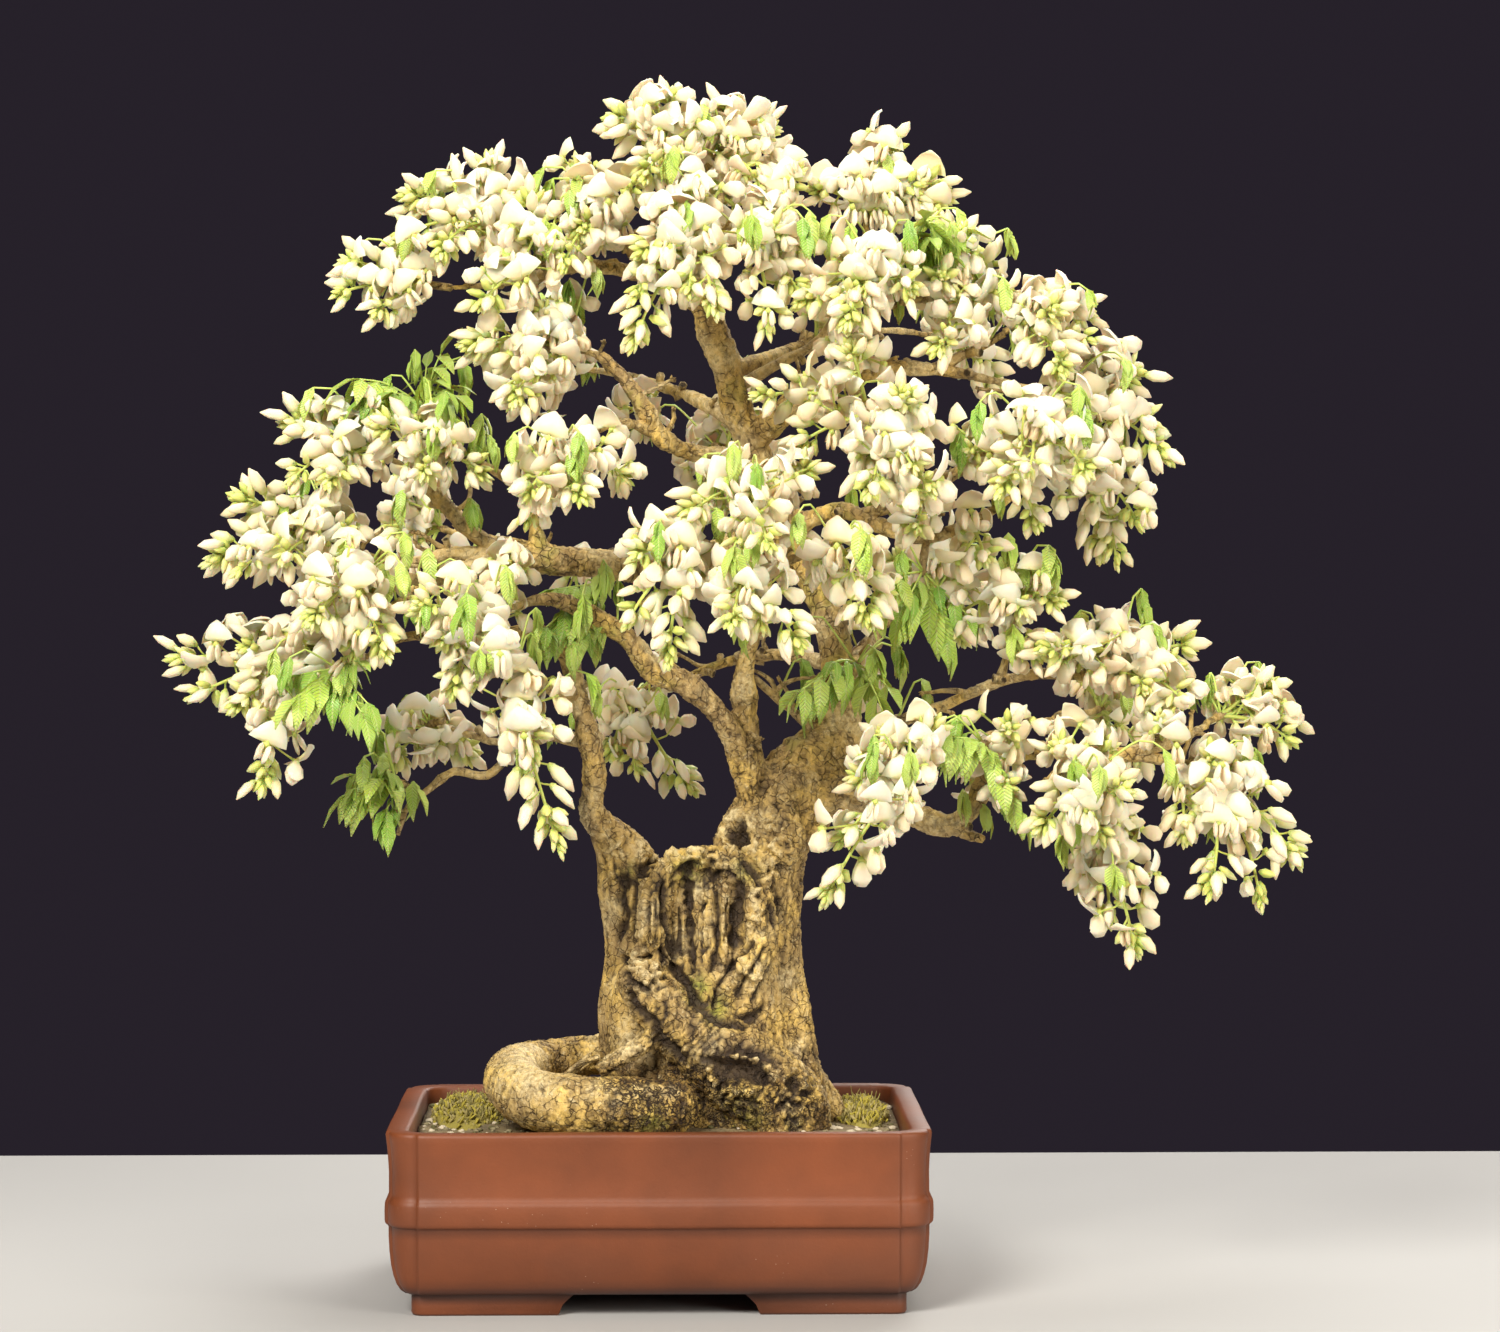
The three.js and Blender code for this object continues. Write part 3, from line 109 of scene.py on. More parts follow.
# Limbs and branches, from the foot to the tip: x, y, z and radius at each point along them.
LIMBS = {
    "main_trunk": [[16, 0, 276, 30.3], [24, 0, 314, 28.9], [39, 4, 339, 28.2], [57, 8, 358, 26.2],
        [68, 12, 375, 20.7], [72, 18, 394, 15.9], [73, 24, 416, 13.2], [71, 28, 444, 12.2],
        [61, 30, 475, 11.8], [47, 28, 507, 11.8], [33, 22, 538, 11.8], [20, 16, 563, 11.8],
        [8, 10, 589, 11.4], [0, 6, 613, 11], [-6, 2, 637, 11], [-15, 0, 659, 11], [-19, -2, 682, 8.9],
        [-22, -4, 709, 6.5], [-24, -4, 737, 4.5], [-26, -4, 761, 2.7]],
    "left_limb": [[-68, -8, 286, 15.8], [-85, -16, 311, 11.3], [-97, -22, 328, 9.6], [-95, -25, 351, 8.2],
        [-99, -28, 380, 8.2], [-107, -30, 410, 7.5], [-114, -35, 440, 7.8], [-126, -42, 449, 5.8],
        [-148, -50, 451, 4.7], [-178, -58, 446, 4.4], [-219, -60, 448, 3.4], [-246, -60, 435, 2.4]],
    "left_rising_limb": [[15, -12, 335, 11.6], [6, -22, 363, 9.6], [-2, -28, 382, 8.9],
        [-15, -34, 400, 8.2], [-33, -42, 416, 8.1], [-54, -50, 424, 8.1], [-71, -58, 446, 7.4],
        [-93, -64, 460, 7.4], [-111, -72, 470, 6], [-130, -84, 473, 4], [-150, -96, 467, 2.3]],
    "upright_limb": [[17, -6, 335, 11], [10, -15, 380, 8.2], [7, -20, 404, 9.6], [7, -24, 423, 6.8],
        [11, -30, 442, 5.8], [17, -40, 466, 5.4], [20, -62, 489, 4.7], [16, -90, 516, 4],
        [10, -118, 539, 2.6]],
    "left_horizontal_limb": [[41, 24, 519, 10.4], [5, 10, 510, 9.3], [-30, -4, 498, 9.3],
        [-64, -14, 494, 9.6], [-105, -20, 498, 9.6], [-132, -25, 500, 9.2], [-159, -30, 502, 8.2],
        [-181, -36, 493, 6.8], [-206, -42, 485, 5.8], [-223, -46, 472, 4.4], [-246, -50, 458, 3.4],
        [-267, -50, 447, 2.4]],
    "left_fork_back": [[-149, -28, 502, 6.1], [-194, -22, 504, 5.1], [-214, -20, 498, 4.1],
        [-241, -25, 500, 3.1], [-261, -30, 508, 2]],
    "left_fork_up": [[-159, -28, 505, 5.8], [-181, -25, 521, 5.1], [-201, -22, 542, 4.8],
        [-222, -20, 560, 3.4], [-235, -20, 569, 2]],
    "left_fork_inner": [[-131, -25, 501, 6.1], [-137, -22, 527, 4.8], [-144, -22, 546, 3.8],
        [-166, -28, 562, 3.1], [-190, -32, 571, 2]],
    "upper_left_limb": [[19, 16, 570, 8.3], [-23, 0, 572, 6.9], [-48, -15, 582, 6.5],
        [-59, -22, 600, 6.1], [-74, -28, 622, 5.4], [-90, -36, 637, 4.1], [-102, -42, 640, 2.4]],
    "upper_left_spur": [[-52, -16, 584, 4.1], [-67, -28, 592, 3.4], [-91, -60, 588, 3],
        [-107, -95, 578, 2.3]],
    "top_left_limb": [[-16, 0, 667, 7.6], [-37, -2, 684, 6.2], [-64, -6, 695, 5.5], [-98, -12, 700, 4.8],
        [-132, -18, 694, 3.8], [-166, -20, 687, 3.1], [-192, -20, 685, 2]],
    "top_left_fork": [[-108, -14, 698, 3.8], [-129, -6, 712, 3.1], [-150, -2, 724, 2.1]],
    "top_left_inner": [[-57, -5, 693, 3.8], [-71, -12, 712, 3.1], [-80, -18, 722, 2.1]],
    "apex_front": [[-20, -2, 689, 4.5], [-20, -32, 705, 3.4], [-22, -52, 716, 2]],
    "apex_right": [[-21, -4, 700, 4.1], [-4, -30, 710, 3.1], [5, -44, 713, 2]],
    "right_high_limb": [[12, 10, 581, 11], [29, -4, 596, 10], [45, -14, 609, 9.2], [62, -20, 618, 8.2],
        [86, -25, 626, 6.5], [113, -26, 630, 5.5], [148, -22, 628, 4.1], [182, -18, 621, 3.1],
        [210, -15, 616, 2.1]],
    "right_high_fork": [[79, -24, 624, 5.8], [90, -20, 650, 4.4], [100, -16, 677, 3.8],
        [98, -12, 704, 2.7], [92, -10, 723, 2.1]],
    "right_high_outer": [[100, -16, 672, 3.8], [124, -10, 678, 3.1], [145, -10, 675, 2.1]],
    "right_high_tip": [[134, -24, 629, 4.1], [165, -20, 643, 3.1], [185, -20, 654, 2]],
    "right_thin_limb": [[3, 6, 618, 4.8], [32, 5, 635, 3.8], [56, 4, 648, 3.1], [73, -10, 671, 2.7],
        [88, -42, 688, 2]],
    "right_middle_limb": [[41, 24, 522, 7.6], [67, 6, 533, 6.2], [83, -10, 531, 5.8],
        [100, -20, 523, 5.5], [123, -30, 516, 5.4], [141, -35, 517, 5.1], [164, -38, 526, 4.1],
        [191, -36, 544, 3.1], [218, -35, 564, 2]],
    "right_middle_fork": [[88, -12, 530, 5.1], [109, -30, 537, 4.4], [143, -45, 554, 4.1],
        [171, -65, 573, 3], [189, -78, 585, 2]],
    "front_right_spur": [[76, -22, 622, 4.8], [85, -70, 607, 3.4], [93, -106, 592, 2.3]],
    "centre_left_spur": [[20, -58, 486, 3.4], [-1, -100, 498, 2.7], [-18, -132, 507, 2]],
    "centre_front_spur": [[19, -72, 499, 3], [10, -110, 498, 2.6], [6, -132, 499, 2]],
    "centre_right_spur": [[21, -66, 493, 3.4], [43, -92, 502, 2.7], [59, -110, 508, 2]],
    "right_low_limb": [[43, 0, 322, 22], [66, -12, 337, 15.8], [93, -24, 336, 11.6], [123, -34, 326, 9.2],
        [146, -42, 319, 7.8], [161, -46, 332, 7.4], [169, -48, 347, 7.1], [180, -48, 363, 6.4],
        [207, -48, 371, 6.1], [239, -48, 368, 6.1], [255, -48, 366, 6.1], [276, -46, 370, 5.4],
        [305, -40, 379, 4.1], [323, -24, 386, 2.7]],
    "right_low_stub": [[140, -40, 322, 6], [156, -42, 314, 4.6], [170, -43, 309, 3.6]],
    "right_low_fork": [[268, -46, 368, 4.4], [291, -46, 364, 3.7], [309, -42, 361, 2.4]],
    "right_low_under": [[242, -50, 366, 4.4], [247, -66, 352, 3.4], [246, -80, 338, 2]],
    "right_low_front": [[221, -48, 370, 4.4], [225, -76, 363, 3], [227, -94, 358, 2]],
    "right_upper_limb": [[75, 12, 370, 10.4], [96, 4, 380, 5.9], [118, -6, 390, 4.5],
        [145, -14, 400, 4.1], [168, -20, 411, 4.1], [195, -24, 420, 4.1], [222, -26, 422, 4.1],
        [250, -26, 419, 3.1]],
    "right_upper_spur": [[182, -22, 416, 3.1], [187, -28, 442, 2.4], [188, -34, 464, 1.7]],
    "front_low_spur": [[79, -20, 336, 5.8], [97, -70, 344, 4], [107, -125, 354, 2.3]],
    "collar_twig": [[62, 2, 374, 3.4], [40, 0, 396, 2.8], [26, -8, 408, 2.6], [14, -20, 419, 2.4]],
    "left_low_front": [[-106, -30, 408, 5.4], [-124, -62, 412, 3.7], [-139, -98, 418, 2.3]],
    "left_low_limb": [[-100, -28, 376, 5.1], [-127, -14, 379, 3.8], [-146, -4, 372, 3.4],
        [-169, 0, 352, 3.1], [-192, 4, 354, 3.1], [-209, 6, 342, 2.8], [-224, 6, 330, 2.1],
        [-231, 6, 310, 1.7]],
    "left_low_back": [[-146, -4, 372, 3.1], [-175, 10, 377, 2.4], [-199, 18, 385, 1.7]],
    "left_outer_front": [[-206, -42, 485, 4.4], [-219, -68, 487, 3], [-237, -86, 489, 2]],
    "back_low_limb": [[73, 26, 425, 6.2], [41, 66, 433, 4.6], [-1, 92, 428, 3.9], [-36, 103, 414, 2.9],
        [-57, 106, 407, 2.1]],
    "back_right_limb": [[73, 22, 410, 7.6], [91, 74, 433, 6], [109, 118, 453, 4.3], [128, 150, 468, 3.3],
        [144, 170, 475, 2.2]],
    "back_centre_limb": [[51, 28, 498, 6.9], [42, 78, 527, 5.3], [27, 121, 550, 4.3], [11, 150, 567, 3.3],
        [-2, 170, 578, 2.2]],
    "back_upper_left_limb": [[8, 10, 591, 6.6], [-22, 58, 611, 4.9], [-57, 105, 626, 3.9],
        [-86, 135, 635, 2.9], [-110, 155, 638, 2.2]],
    "back_upper_right_limb": [[-3, 4, 629, 6.2], [41, 58, 647, 4.6], [85, 105, 661, 3.6],
        [123, 135, 665, 2.9], [148, 155, 662, 2.2]],
    "back_left_limb": [[-54, -12, 494, 6.8], [-91, 48, 500, 4.9], [-127, 105, 507, 3.9],
        [-166, 135, 515, 2.9], [-198, 155, 521, 2.2]],
    "back_right_low_limb": [[88, -20, 336, 6.8], [130, 38, 353, 4.9], [177, 94, 372, 3.9],
        [223, 126, 383, 2.9], [256, 144, 390, 2.2]],
    "back_apex_limb": [[-20, -2, 689, 4.8], [-15, 46, 711, 3.5], [-11, 82, 735, 2.8],
        [-8, 103, 752, 2.1]],
}

# Each flowering spur: its foot, the way it points, and its flower heads' tips with the half width of each.
SPRAYS = {
    "apex_left": ((-31, -5, 778), (-0.49, -0.22, 0.84),
        [(-83, -20, 800, 22), (-45, 0, 818, 21), (-60, -60, 755, 20)]),
    "apex_right": ((-12, 5, 775), (0.72, 0.21, 0.66),
        [(26, 10, 796, 21), (-3, 20, 812, 18), (19, -30, 751, 19)]),
    "apex_front": ((-22, -60, 720), (-0.22, -0.97, 0.01),
        [(-69, -110, 641, 26), (-64, -100, 702, 23), (-14, -115, 663, 21)]),
    "apex_front_right": ((9, -50, 714), (0.50, -0.87, -0.04), [(22, -90, 652, 19), (28, -85, 718, 17)]),
    "top_left_tip": ((-201, -20, 686), (-0.98, -0.19, 0.10),
        [(-263, -30, 700, 24), (-241, -50, 666, 18)]),
    "top_left_outer": ((-157, -2, 728), (-0.83, -0.10, 0.54),
        [(-224, -8, 748, 23), (-198, -60, 704, 23), (-168, 14, 774, 19)]),
    "top_left_middle": ((-128, -40, 697), (-0.24, -0.91, 0.35),
        [(-170, -85, 669, 24), (-140, -40, 746, 19)]),
    "top_left_inner": ((-84, -20, 726), (-0.69, -0.35, 0.63), [(-114, -80, 695, 23), (-109, 0, 769, 19)]),
    "upper_left": ((-108, -46, 642), (-0.84, -0.53, 0.10), [(-180, -60, 644, 23), (-147, -100, 604, 23)]),
    "upper_left_front": ((-115, -115, 572), (-0.23, -0.89, -0.40),
        [(-136, -150, 542, 20), (-100, -155, 539, 18)]),
    "left_top": ((-239, -20, 573), (-0.83, -0.28, 0.48), [(-303, -30, 591, 24), (-271, -75, 550, 21)]),
    "left_top_inner": ((-197, -50, 574), (-0.48, -0.86, 0.16),
        [(-239, -70, 590, 20), (-207, -95, 556, 19)]),
    "left_outer": ((-267, -32, 512), (-0.86, -0.35, 0.38),
        [(-337, -35, 542, 23), (-300, -95, 499, 23), (-353, -50, 498, 23)]),
    "left_front": ((-245, -94, 489), (-0.50, -0.82, -0.27),
        [(-278, -140, 459, 25), (-228, -140, 437, 21)]),
    "left_middle": ((-160, -101, 464), (-0.81, -0.53, -0.26),
        [(-207, -140, 470, 22), (-186, -128, 412, 20)]),
    "left_low_outer": ((-273, -50, 442), (-0.83, -0.10, -0.55),
        [(-379, -40, 432, 23), (-334, -80, 400, 20), (-316, -80, 347, 25)]),
    "left_low_front": ((-146, -110, 420), (-0.36, -0.93, 0.08),
        [(-116, -142, 310, 26), (-161, -145, 447, 18)]),
    "left_low_back": ((-206, 20, 387), (-0.80, 0.56, -0.20), [(-235, 40, 359, 20), (-179, 30, 363, 18)]),
    "back_low": ((-65, 107, 406), (-0.73, 0.15, -0.67), [(-27, 115, 335, 24), (-85, 109, 361, 20)]),
    "centre_high": ((9, -128, 546), (-0.20, -0.96, 0.21), [(-32, -175, 528, 23), (19, -205, 507, 20)]),
    "centre_left": ((-24, -142, 509), (-0.55, -0.83, -0.08),
        [(-65, -185, 502, 23), (-45, -190, 434, 24)]),
    "centre_front": ((5, -142, 498), (0.02, -0.95, -0.30), [(-5, -208, 457, 20), (39, -190, 444, 23)]),
    "centre_right": ((64, -118, 509), (0.51, -0.80, -0.32), [(85, -150, 459, 22)]),
    "right_top": ((91, -10, 731), (0.01, 0.02, 1.00),
        [(56, -20, 752, 20), (109, 0, 787, 21), (147, 0, 747, 21)]),
    "right_top_front": ((94, -52, 695), (0.15, -0.97, 0.17),
        [(72, -112, 655, 24), (117, -95, 679, 20), (43, -80, 670, 19)]),
    "right_high_outer": ((153, -10, 674), (0.97, -0.18, 0.15), [(177, 10, 708, 19), (133, -80, 638, 21)]),
    "right_shoulder": ((192, -20, 658), (0.93, -0.18, 0.31), [(243, -10, 670, 21), (219, -75, 624, 21)]),
    "right_tip": ((218, -15, 615), (0.99, 0.08, -0.07), [(280, 10, 629, 22), (297, -20, 569, 22)]),
    "right_front": ((195, -84, 588), (0.48, -0.88, -0.04), [(230, -135, 557, 24), (173, -132, 544, 21)]),
    "right_under": ((226, -34, 570), (1.00, 0.01, -0.05), [(273, -50, 524, 23), (249, -30, 501, 18)]),
    "front_right": ((96, -115, 585), (0.25, -0.87, -0.42),
        [(85, -160, 542, 22), (126, -158, 543, 19), (109, -160, 608, 18)]),
    "right_middle_inner": ((188, -35, 471), (-0.09, -0.51, 0.85),
        [(218, -65, 471, 17), (149, -45, 460, 20)]),
    "right_upper_low": ((256, -26, 421), (0.85, -0.06, 0.52),
        [(205, -75, 439, 21), (259, -5, 455, 19), (316, 0, 441, 19), (303, -60, 404, 19)]),
    "right_low_tip": ((331, -14, 391), (0.78, 0.53, 0.33), [(371, 0, 414, 18), (386, 0, 374, 18)]),
    "right_low_front": ((228, -104, 354), (0.08, -0.93, -0.37),
        [(199, -130, 322, 22), (256, -135, 347, 18)]),
    "right_low_outer": ((317, -40, 360), (0.87, -0.05, -0.50),
        [(382, -50, 295, 26), (317, -90, 276, 23)]),
    "right_low_hanging": ((246, -86, 330), (-0.02, -0.31, -0.95),
        [(266, -110, 240, 24), (232, -60, 281, 18)]),
    "front_low": ((113, -138, 357), (-0.29, -0.96, -0.04), [(57, -160, 278, 23), (77, -150, 357, 18)]),
    "back_right": ((151, 178, 478), (0.39, 0.90, 0.20), [(173, 199, 441, 22), (121, 205, 500, 21)]),
    "back_centre": ((-9, 178, 583), (-0.25, 0.93, 0.25), [(-20, 202, 530, 24), (28, 205, 601, 21)]),
    "back_upper_left": ((-118, 162, 639), (-0.73, 0.62, 0.29),
        [(-159, 181, 615, 24), (-123, 182, 689, 22)]),
    "back_upper_right": ((156, 162, 661), (0.71, 0.69, 0.14), [(195, 179, 624, 24), (149, 179, 707, 22)]),
    "back_left": ((-205, 162, 522), (-0.78, 0.59, 0.22), [(-251, 181, 486, 24), (-231, 178, 567, 22)]),
    "back_right_low": ((266, 151, 391), (0.68, 0.70, 0.20), [(306, 170, 350, 23), (245, 173, 430, 22)]),
    "back_apex": ((-7, 109, 757), (0.11, 0.88, 0.47), [(-28, 146, 782, 22), (28, 150, 724, 22)]),
}

# Smaller flower heads that fill in round a spur: their tips with the half width of each.
ASIDES = {
    "apex_front": [(-68, -60, 752, 17), (-36, -66, 772, 16)],
    "apex_front_right": [(43, -50, 762, 17), (44, -45, 712, 18)],
    "top_left_inner": [(-90, -40, 716, 16)],
    "top_left_middle": [(-139, -70, 722, 17)],
    "upper_left": [(-128, -60, 668, 16)],
    "right_top": [(126, -20, 756, 17)],
    "right_top_front": [(80, -60, 652, 17)],
    "right_high_outer": [(154, -40, 722, 17), (139, -60, 690, 16)],
    "right_shoulder": [(214, -60, 668, 17)],
    "right_front": [(157, -85, 572, 18), (200, -100, 522, 17)],
    "right_tip": [(236, -50, 600, 17)],
    "front_right": [(42, -95, 576, 17), (121, -95, 520, 17), (76, -100, 640, 16)],
    "centre_high": [(15, -85, 608, 17), (50, -110, 560, 17)],
    "centre_right": [(56, -110, 490, 17), (101, -112, 474, 16)],
    "right_middle_inner": [(168, -75, 500, 16), (205, -60, 436, 16)],
    "right_upper_low": [(238, -50, 440, 17), (277, -60, 412, 17)],
    "front_low": [(96, -125, 384, 15), (134, -112, 392, 16)],
    "right_low_front": [(214, -100, 376, 17), (246, -110, 378, 16), (181, -96, 388, 16),
        (181, -90, 346, 15)],
    "right_low_hanging": [(262, -90, 322, 17)],
    "right_low_outer": [(303, -70, 312, 17), (323, -60, 366, 17), (287, -60, 392, 17)],
    "left_low_outer": [(-286, -70, 471, 17), (-330, -60, 440, 18)],
    "left_outer": [(-260, -60, 519, 17)],
    "left_top_inner": [(-168, -70, 556, 17)],
    "left_middle": [(-198, -105, 446, 17), (-150, -100, 498, 17)],
    "left_front": [(-250, -100, 468, 17)],
    "upper_left_front": [(-73, -95, 553, 16), (-138, -110, 524, 16)],
    "back_apex": [(-16, 62, 722, 18)],
    "back_centre": [(10, 150, 640, 18), (36, 92, 498, 18), (22, 80, 580, 17)],
    "back_upper_left": [(-66, 96, 590, 18)],
    "back_upper_right": [(88, 96, 628, 18), (60, 70, 690, 17)],
    "back_left": [(-190, 150, 470, 18), (-108, 90, 470, 18)],
    "back_right": [(140, 165, 560, 18), (96, 96, 400, 17)],
    "back_right_low": [(180, 90, 336, 17)],
}

# Each leafy shoot: its foot, the way it points, and the tips of its feathered leaves.
SHOOTS = {
    "leaves_upper_left": ((-208, -14, 597), (-0.36, 0.09, 0.93),
        [(-254, -32, 622), (-200, -10, 640), (-188, -50, 610)]),
    "leaves_left_hanging": ((-92, -40, 486), (-0.14, -0.78, -0.61), [(-108, -65, 445), (-124, -62, 452)]),
    "leaves_trunk": ((84, -8, 428), (0.10, -0.99, -0.02), [(44, -72, 412), (100, -66, 396)]),
    "leaves_right_middle": ((128, -44, 496), (-0.08, -0.47, -0.88), [(112, -62, 462), (144, -58, 446)]),
    "leaves_right_low": ((168, -76, 376), (-0.37, -0.92, 0.09), [(136, -104, 378), (190, -92, 330)]),
    "leaves_left_low": ((-262, -78, 428), (-0.45, -0.82, -0.35), [(-290, -110, 408), (-246, -122, 398)]),
    "leaves_left_pair": ((-228, -6, 346), (-0.64, -0.64, 0.43), [(-262, -16, 340), (-240, -30, 352)]),
    "leaves_top_right": ((116, -28, 708), (0.70, -0.59, 0.40), [(150, -40, 722), (128, -62, 728)]),
}


# ---------------------------------------------------------------- building meshes


def unit(v):
    return v / max(np.linalg.norm(v), 1e-9)


def scatter(rng, spread):
    """A random step, about as long as spread."""
    return np.array([rng.gauss(0, spread) for _ in range(3)])


def point_at(path, k):
    """The point at k, counted in rows of the path."""
    return np.array([np.interp(k, range(len(path)), path[:, c]) for c in range(3)])


def noise_at(points, scale):
    return np.array([noise.noise(Vector(p) * scale) for p in points])


def bell(distance, reach, power=2):
    """1 at no distance, and nearly 0 well beyond reach."""
    return np.exp(-((distance / reach) ** power))


def inside_reach(spot):
    return np.all((spot > REACH_LOW) & (spot < REACH_HIGH))


def smooth_path(rows, step):
    """Points on a smooth curve through the rows, about step apart. All the columns are carried along."""
    rows = np.array(rows, float)
    ends = np.vstack([2 * rows[0] - rows[1], rows, 2 * rows[-1] - rows[-2]])
    pieces = []
    for a, b, c, d in zip(ends, ends[1:], ends[2:], ends[3:]):
        count = max(1, int(np.linalg.norm((c - b)[:3]) / step))
        t = np.linspace(0, 1, count, endpoint=False)[:, None]
        second, third = 2 * a - 5 * b + 4 * c - d, 3 * b - a - 3 * c + d
        pieces.append(0.5 * (2 * b + (c - a) * t + second * t**2 + third * t**3))
    return np.vstack([*pieces, rows[-1:]])


def rings_along(path, wide, thick=None, sides=8, side=(0.31, 0.87, 0.39)):
    """Rings of points around a path. wide and thick are the half sizes of the section at each point."""
    path = np.asarray(path, float)
    wide = np.broadcast_to(wide, len(path))
    thick = wide if thick is None else np.broadcast_to(thick, len(path))
    ahead = np.gradient(path, axis=0)
    ahead /= np.linalg.norm(ahead, axis=1)[:, None]
    side = np.array(side, float)
    turn = np.linspace(0, 2 * math.pi, sides, endpoint=False)
    rings = np.empty((len(path), sides, 3))
    for i, p in enumerate(path):
        side = unit(side - ahead[i] * side.dot(ahead[i]))
        other = np.cross(ahead[i], side)
        rings[i] = p + wide[i] * np.outer(np.cos(turn), side) + thick[i] * np.outer(np.sin(turn), other)
    return rings


def skin(rings):
    """A closed skin over rings of equally many points: the points and the faces."""
    n, k = rings.shape[:2]
    i = np.arange(n - 1)[:, None] * k
    j = np.arange(k)[None]
    beyond = (j + 1) % k
    sides = np.stack([i + j, i + beyond, i + k + beyond, i + k + j], -1).reshape(-1, 4)
    none = np.full(k, -1)
    j, beyond = j[0], beyond[0]
    first = np.stack([np.full(k, n * k), beyond, j, none], -1)
    last = np.stack([np.full(k, n * k + 1), (n - 1) * k + j, (n - 1) * k + beyond, none], -1)
    points = np.vstack([rings.reshape(-1, 3), rings[0].mean(0), rings[-1].mean(0)])
    return points, np.vstack([sides, first, last])


class Batch:
    """Gathers closed shapes in millimetres and makes one mesh of them."""

    def __init__(self):
        self.points, self.faces, self.tints, self.kinds, self.count = [], [], [], [], 0

    def add(self, points, faces, tint=(0, 0, 0, 1), kind=0):
        """tint is one colour or one for each point, and kind is the number of the finish."""
        self.points.append(points)
        self.faces.append(np.where(faces < 0, -1, faces + self.count))
        self.tints.append(np.broadcast_to(np.asarray(tint, float), (len(points), 4)))
        self.kinds.append(np.full(len(faces), kind))
        self.count += len(points)
        return self

    def tube(self, path, radii, sides, tint=(0, 0, 0, 1), kind=0):
        points, faces = skin(rings_along(path, radii, sides=sides))
        if np.ndim(tint) == 2:
            tint = np.vstack([np.repeat(tint, sides, axis=0), tint[:1], tint[-1:]])
        return self.add(points, faces, tint, kind)

    def gathered(self):
        """The whole batch as one shape: its points, faces, tints and kinds."""
        stacked = [np.vstack(rows) for rows in (self.points, self.faces, self.tints)]
        return *stacked, np.concatenate(self.kinds)

    def place(self, shape, axes, origin, shade):
        """Adds a copy of a gathered shape. axes are its forward, side and up, scaled.
        shade becomes the tint's third value."""
        points, faces, tints, kinds = shape
        tints = tints.copy()
        tints[:, 2] = shade
        self.add(points @ np.array(axes) + origin, faces, tints)
        self.kinds[-1] = kinds

    def piece(self, name, finishes, smooth=True, crisp=False):
        """The mesh of all the shapes. Where it is crisp, thin rims stay sharp."""
        points, faces, tints, kinds = self.gathered()
        sizes = (faces >= 0).sum(1)
        corners = faces[faces >= 0]
        mesh = bpy.data.meshes.new(name)
        mesh.vertices.add(len(points))
        mesh.vertices.foreach_set("co", ((points + HOME) * 0.001).astype(np.float32).ravel())
        mesh.loops.add(len(corners))
        mesh.loops.foreach_set("vertex_index", corners.astype(np.int32))
        mesh.polygons.add(len(sizes))
        mesh.polygons.foreach_set("loop_start", (np.cumsum(sizes) - sizes).astype(np.int32))
        mesh.polygons.foreach_set("material_index", kinds.astype(np.int32))
        mesh.polygons.foreach_set("use_smooth", np.full(len(sizes), smooth))
        mesh.update(calc_edges=True)
        if crisp:
            mesh.set_sharp_from_angle(angle=math.radians(110))
        colours = mesh.color_attributes.new("tint", "FLOAT_COLOR", "POINT")
        colours.data.foreach_set("color", tints.astype(np.float32).ravel())
        for finish in finishes:
            mesh.materials.append(finish)
        made = bpy.data.objects.new(name, mesh)
        bpy.context.scene.collection.objects.link(made)
        return made


def remeshed(batch, cell, rounds):
    """The batch's shapes as one smooth skin of about square faces: points, faces and the points' normals."""
    rough = batch.piece("rough", [])
    melt = rough.modifiers.new("melt", "REMESH")
    melt.mode, melt.voxel_size = "VOXEL", cell * 0.001
    soften = rough.modifiers.new("soften", "SMOOTH")
    soften.factor, soften.iterations = 0.5, rounds
    melted = rough.evaluated_get(bpy.context.evaluated_depsgraph_get()).to_mesh()
    points = np.empty(len(melted.vertices) * 3, np.float32)
    normals = np.empty_like(points)
    melted.vertices.foreach_get("co", points)
    melted.vertex_normals.foreach_get("vector", normals)
    sizes = np.empty(len(melted.polygons), np.int32)
    melted.polygons.foreach_get("loop_total", sizes)
    corners = np.empty(len(melted.loops), np.int32)
    melted.loops.foreach_get("vertex_index", corners)
    faces = np.full((len(sizes), 4), -1)
    faces[np.arange(4)[None] < sizes[:, None]] = corners
    rough.to_mesh_clear()
    bpy.data.objects.remove(rough)
    return points.reshape(-1, 3) * 1000.0 - HOME, faces, normals.reshape(-1, 3).astype(float)


def thinned(piece, share):
    """Keeps a share of a piece's faces, most of them where its skin is rough."""
    thin = piece.modifiers.new("thin", "DECIMATE")
    thin.ratio = share
    mesh = bpy.data.meshes.new_from_object(piece.evaluated_get(bpy.context.evaluated_depsgraph_get()))
    piece.modifiers.clear()
    piece.data = mesh
    return piece


# ---------------------------------------------------------------- finishes


class Value:
    """A socket whose value Python's operators work on: each adds a Math node."""

    def __init__(self, finish, socket):
        self.finish, self.socket = finish, socket

    def maths(self, operation, *others):
        return self.finish.node("ShaderNodeMath", {"operation": operation}, dict(enumerate([self, *others])))

    def __add__(self, other):
        return self.maths("ADD", other)

    __radd__ = __add__

    def __mul__(self, other):
        return self.maths("MULTIPLY", other)

    __rmul__ = __mul__

    def __sub__(self, other):
        return self.maths("SUBTRACT", other)

    def __rsub__(self, other):
        return (self * -1) + other

    def ramp(self, low, high):
        """0 at low, 1 at high, and straight between them."""
        return self.finish.node("ShaderNodeMapRange", {}, {"Value": self, "From Min": low, "From Max": high})

    def sine(self):
        return self.maths("SINE")


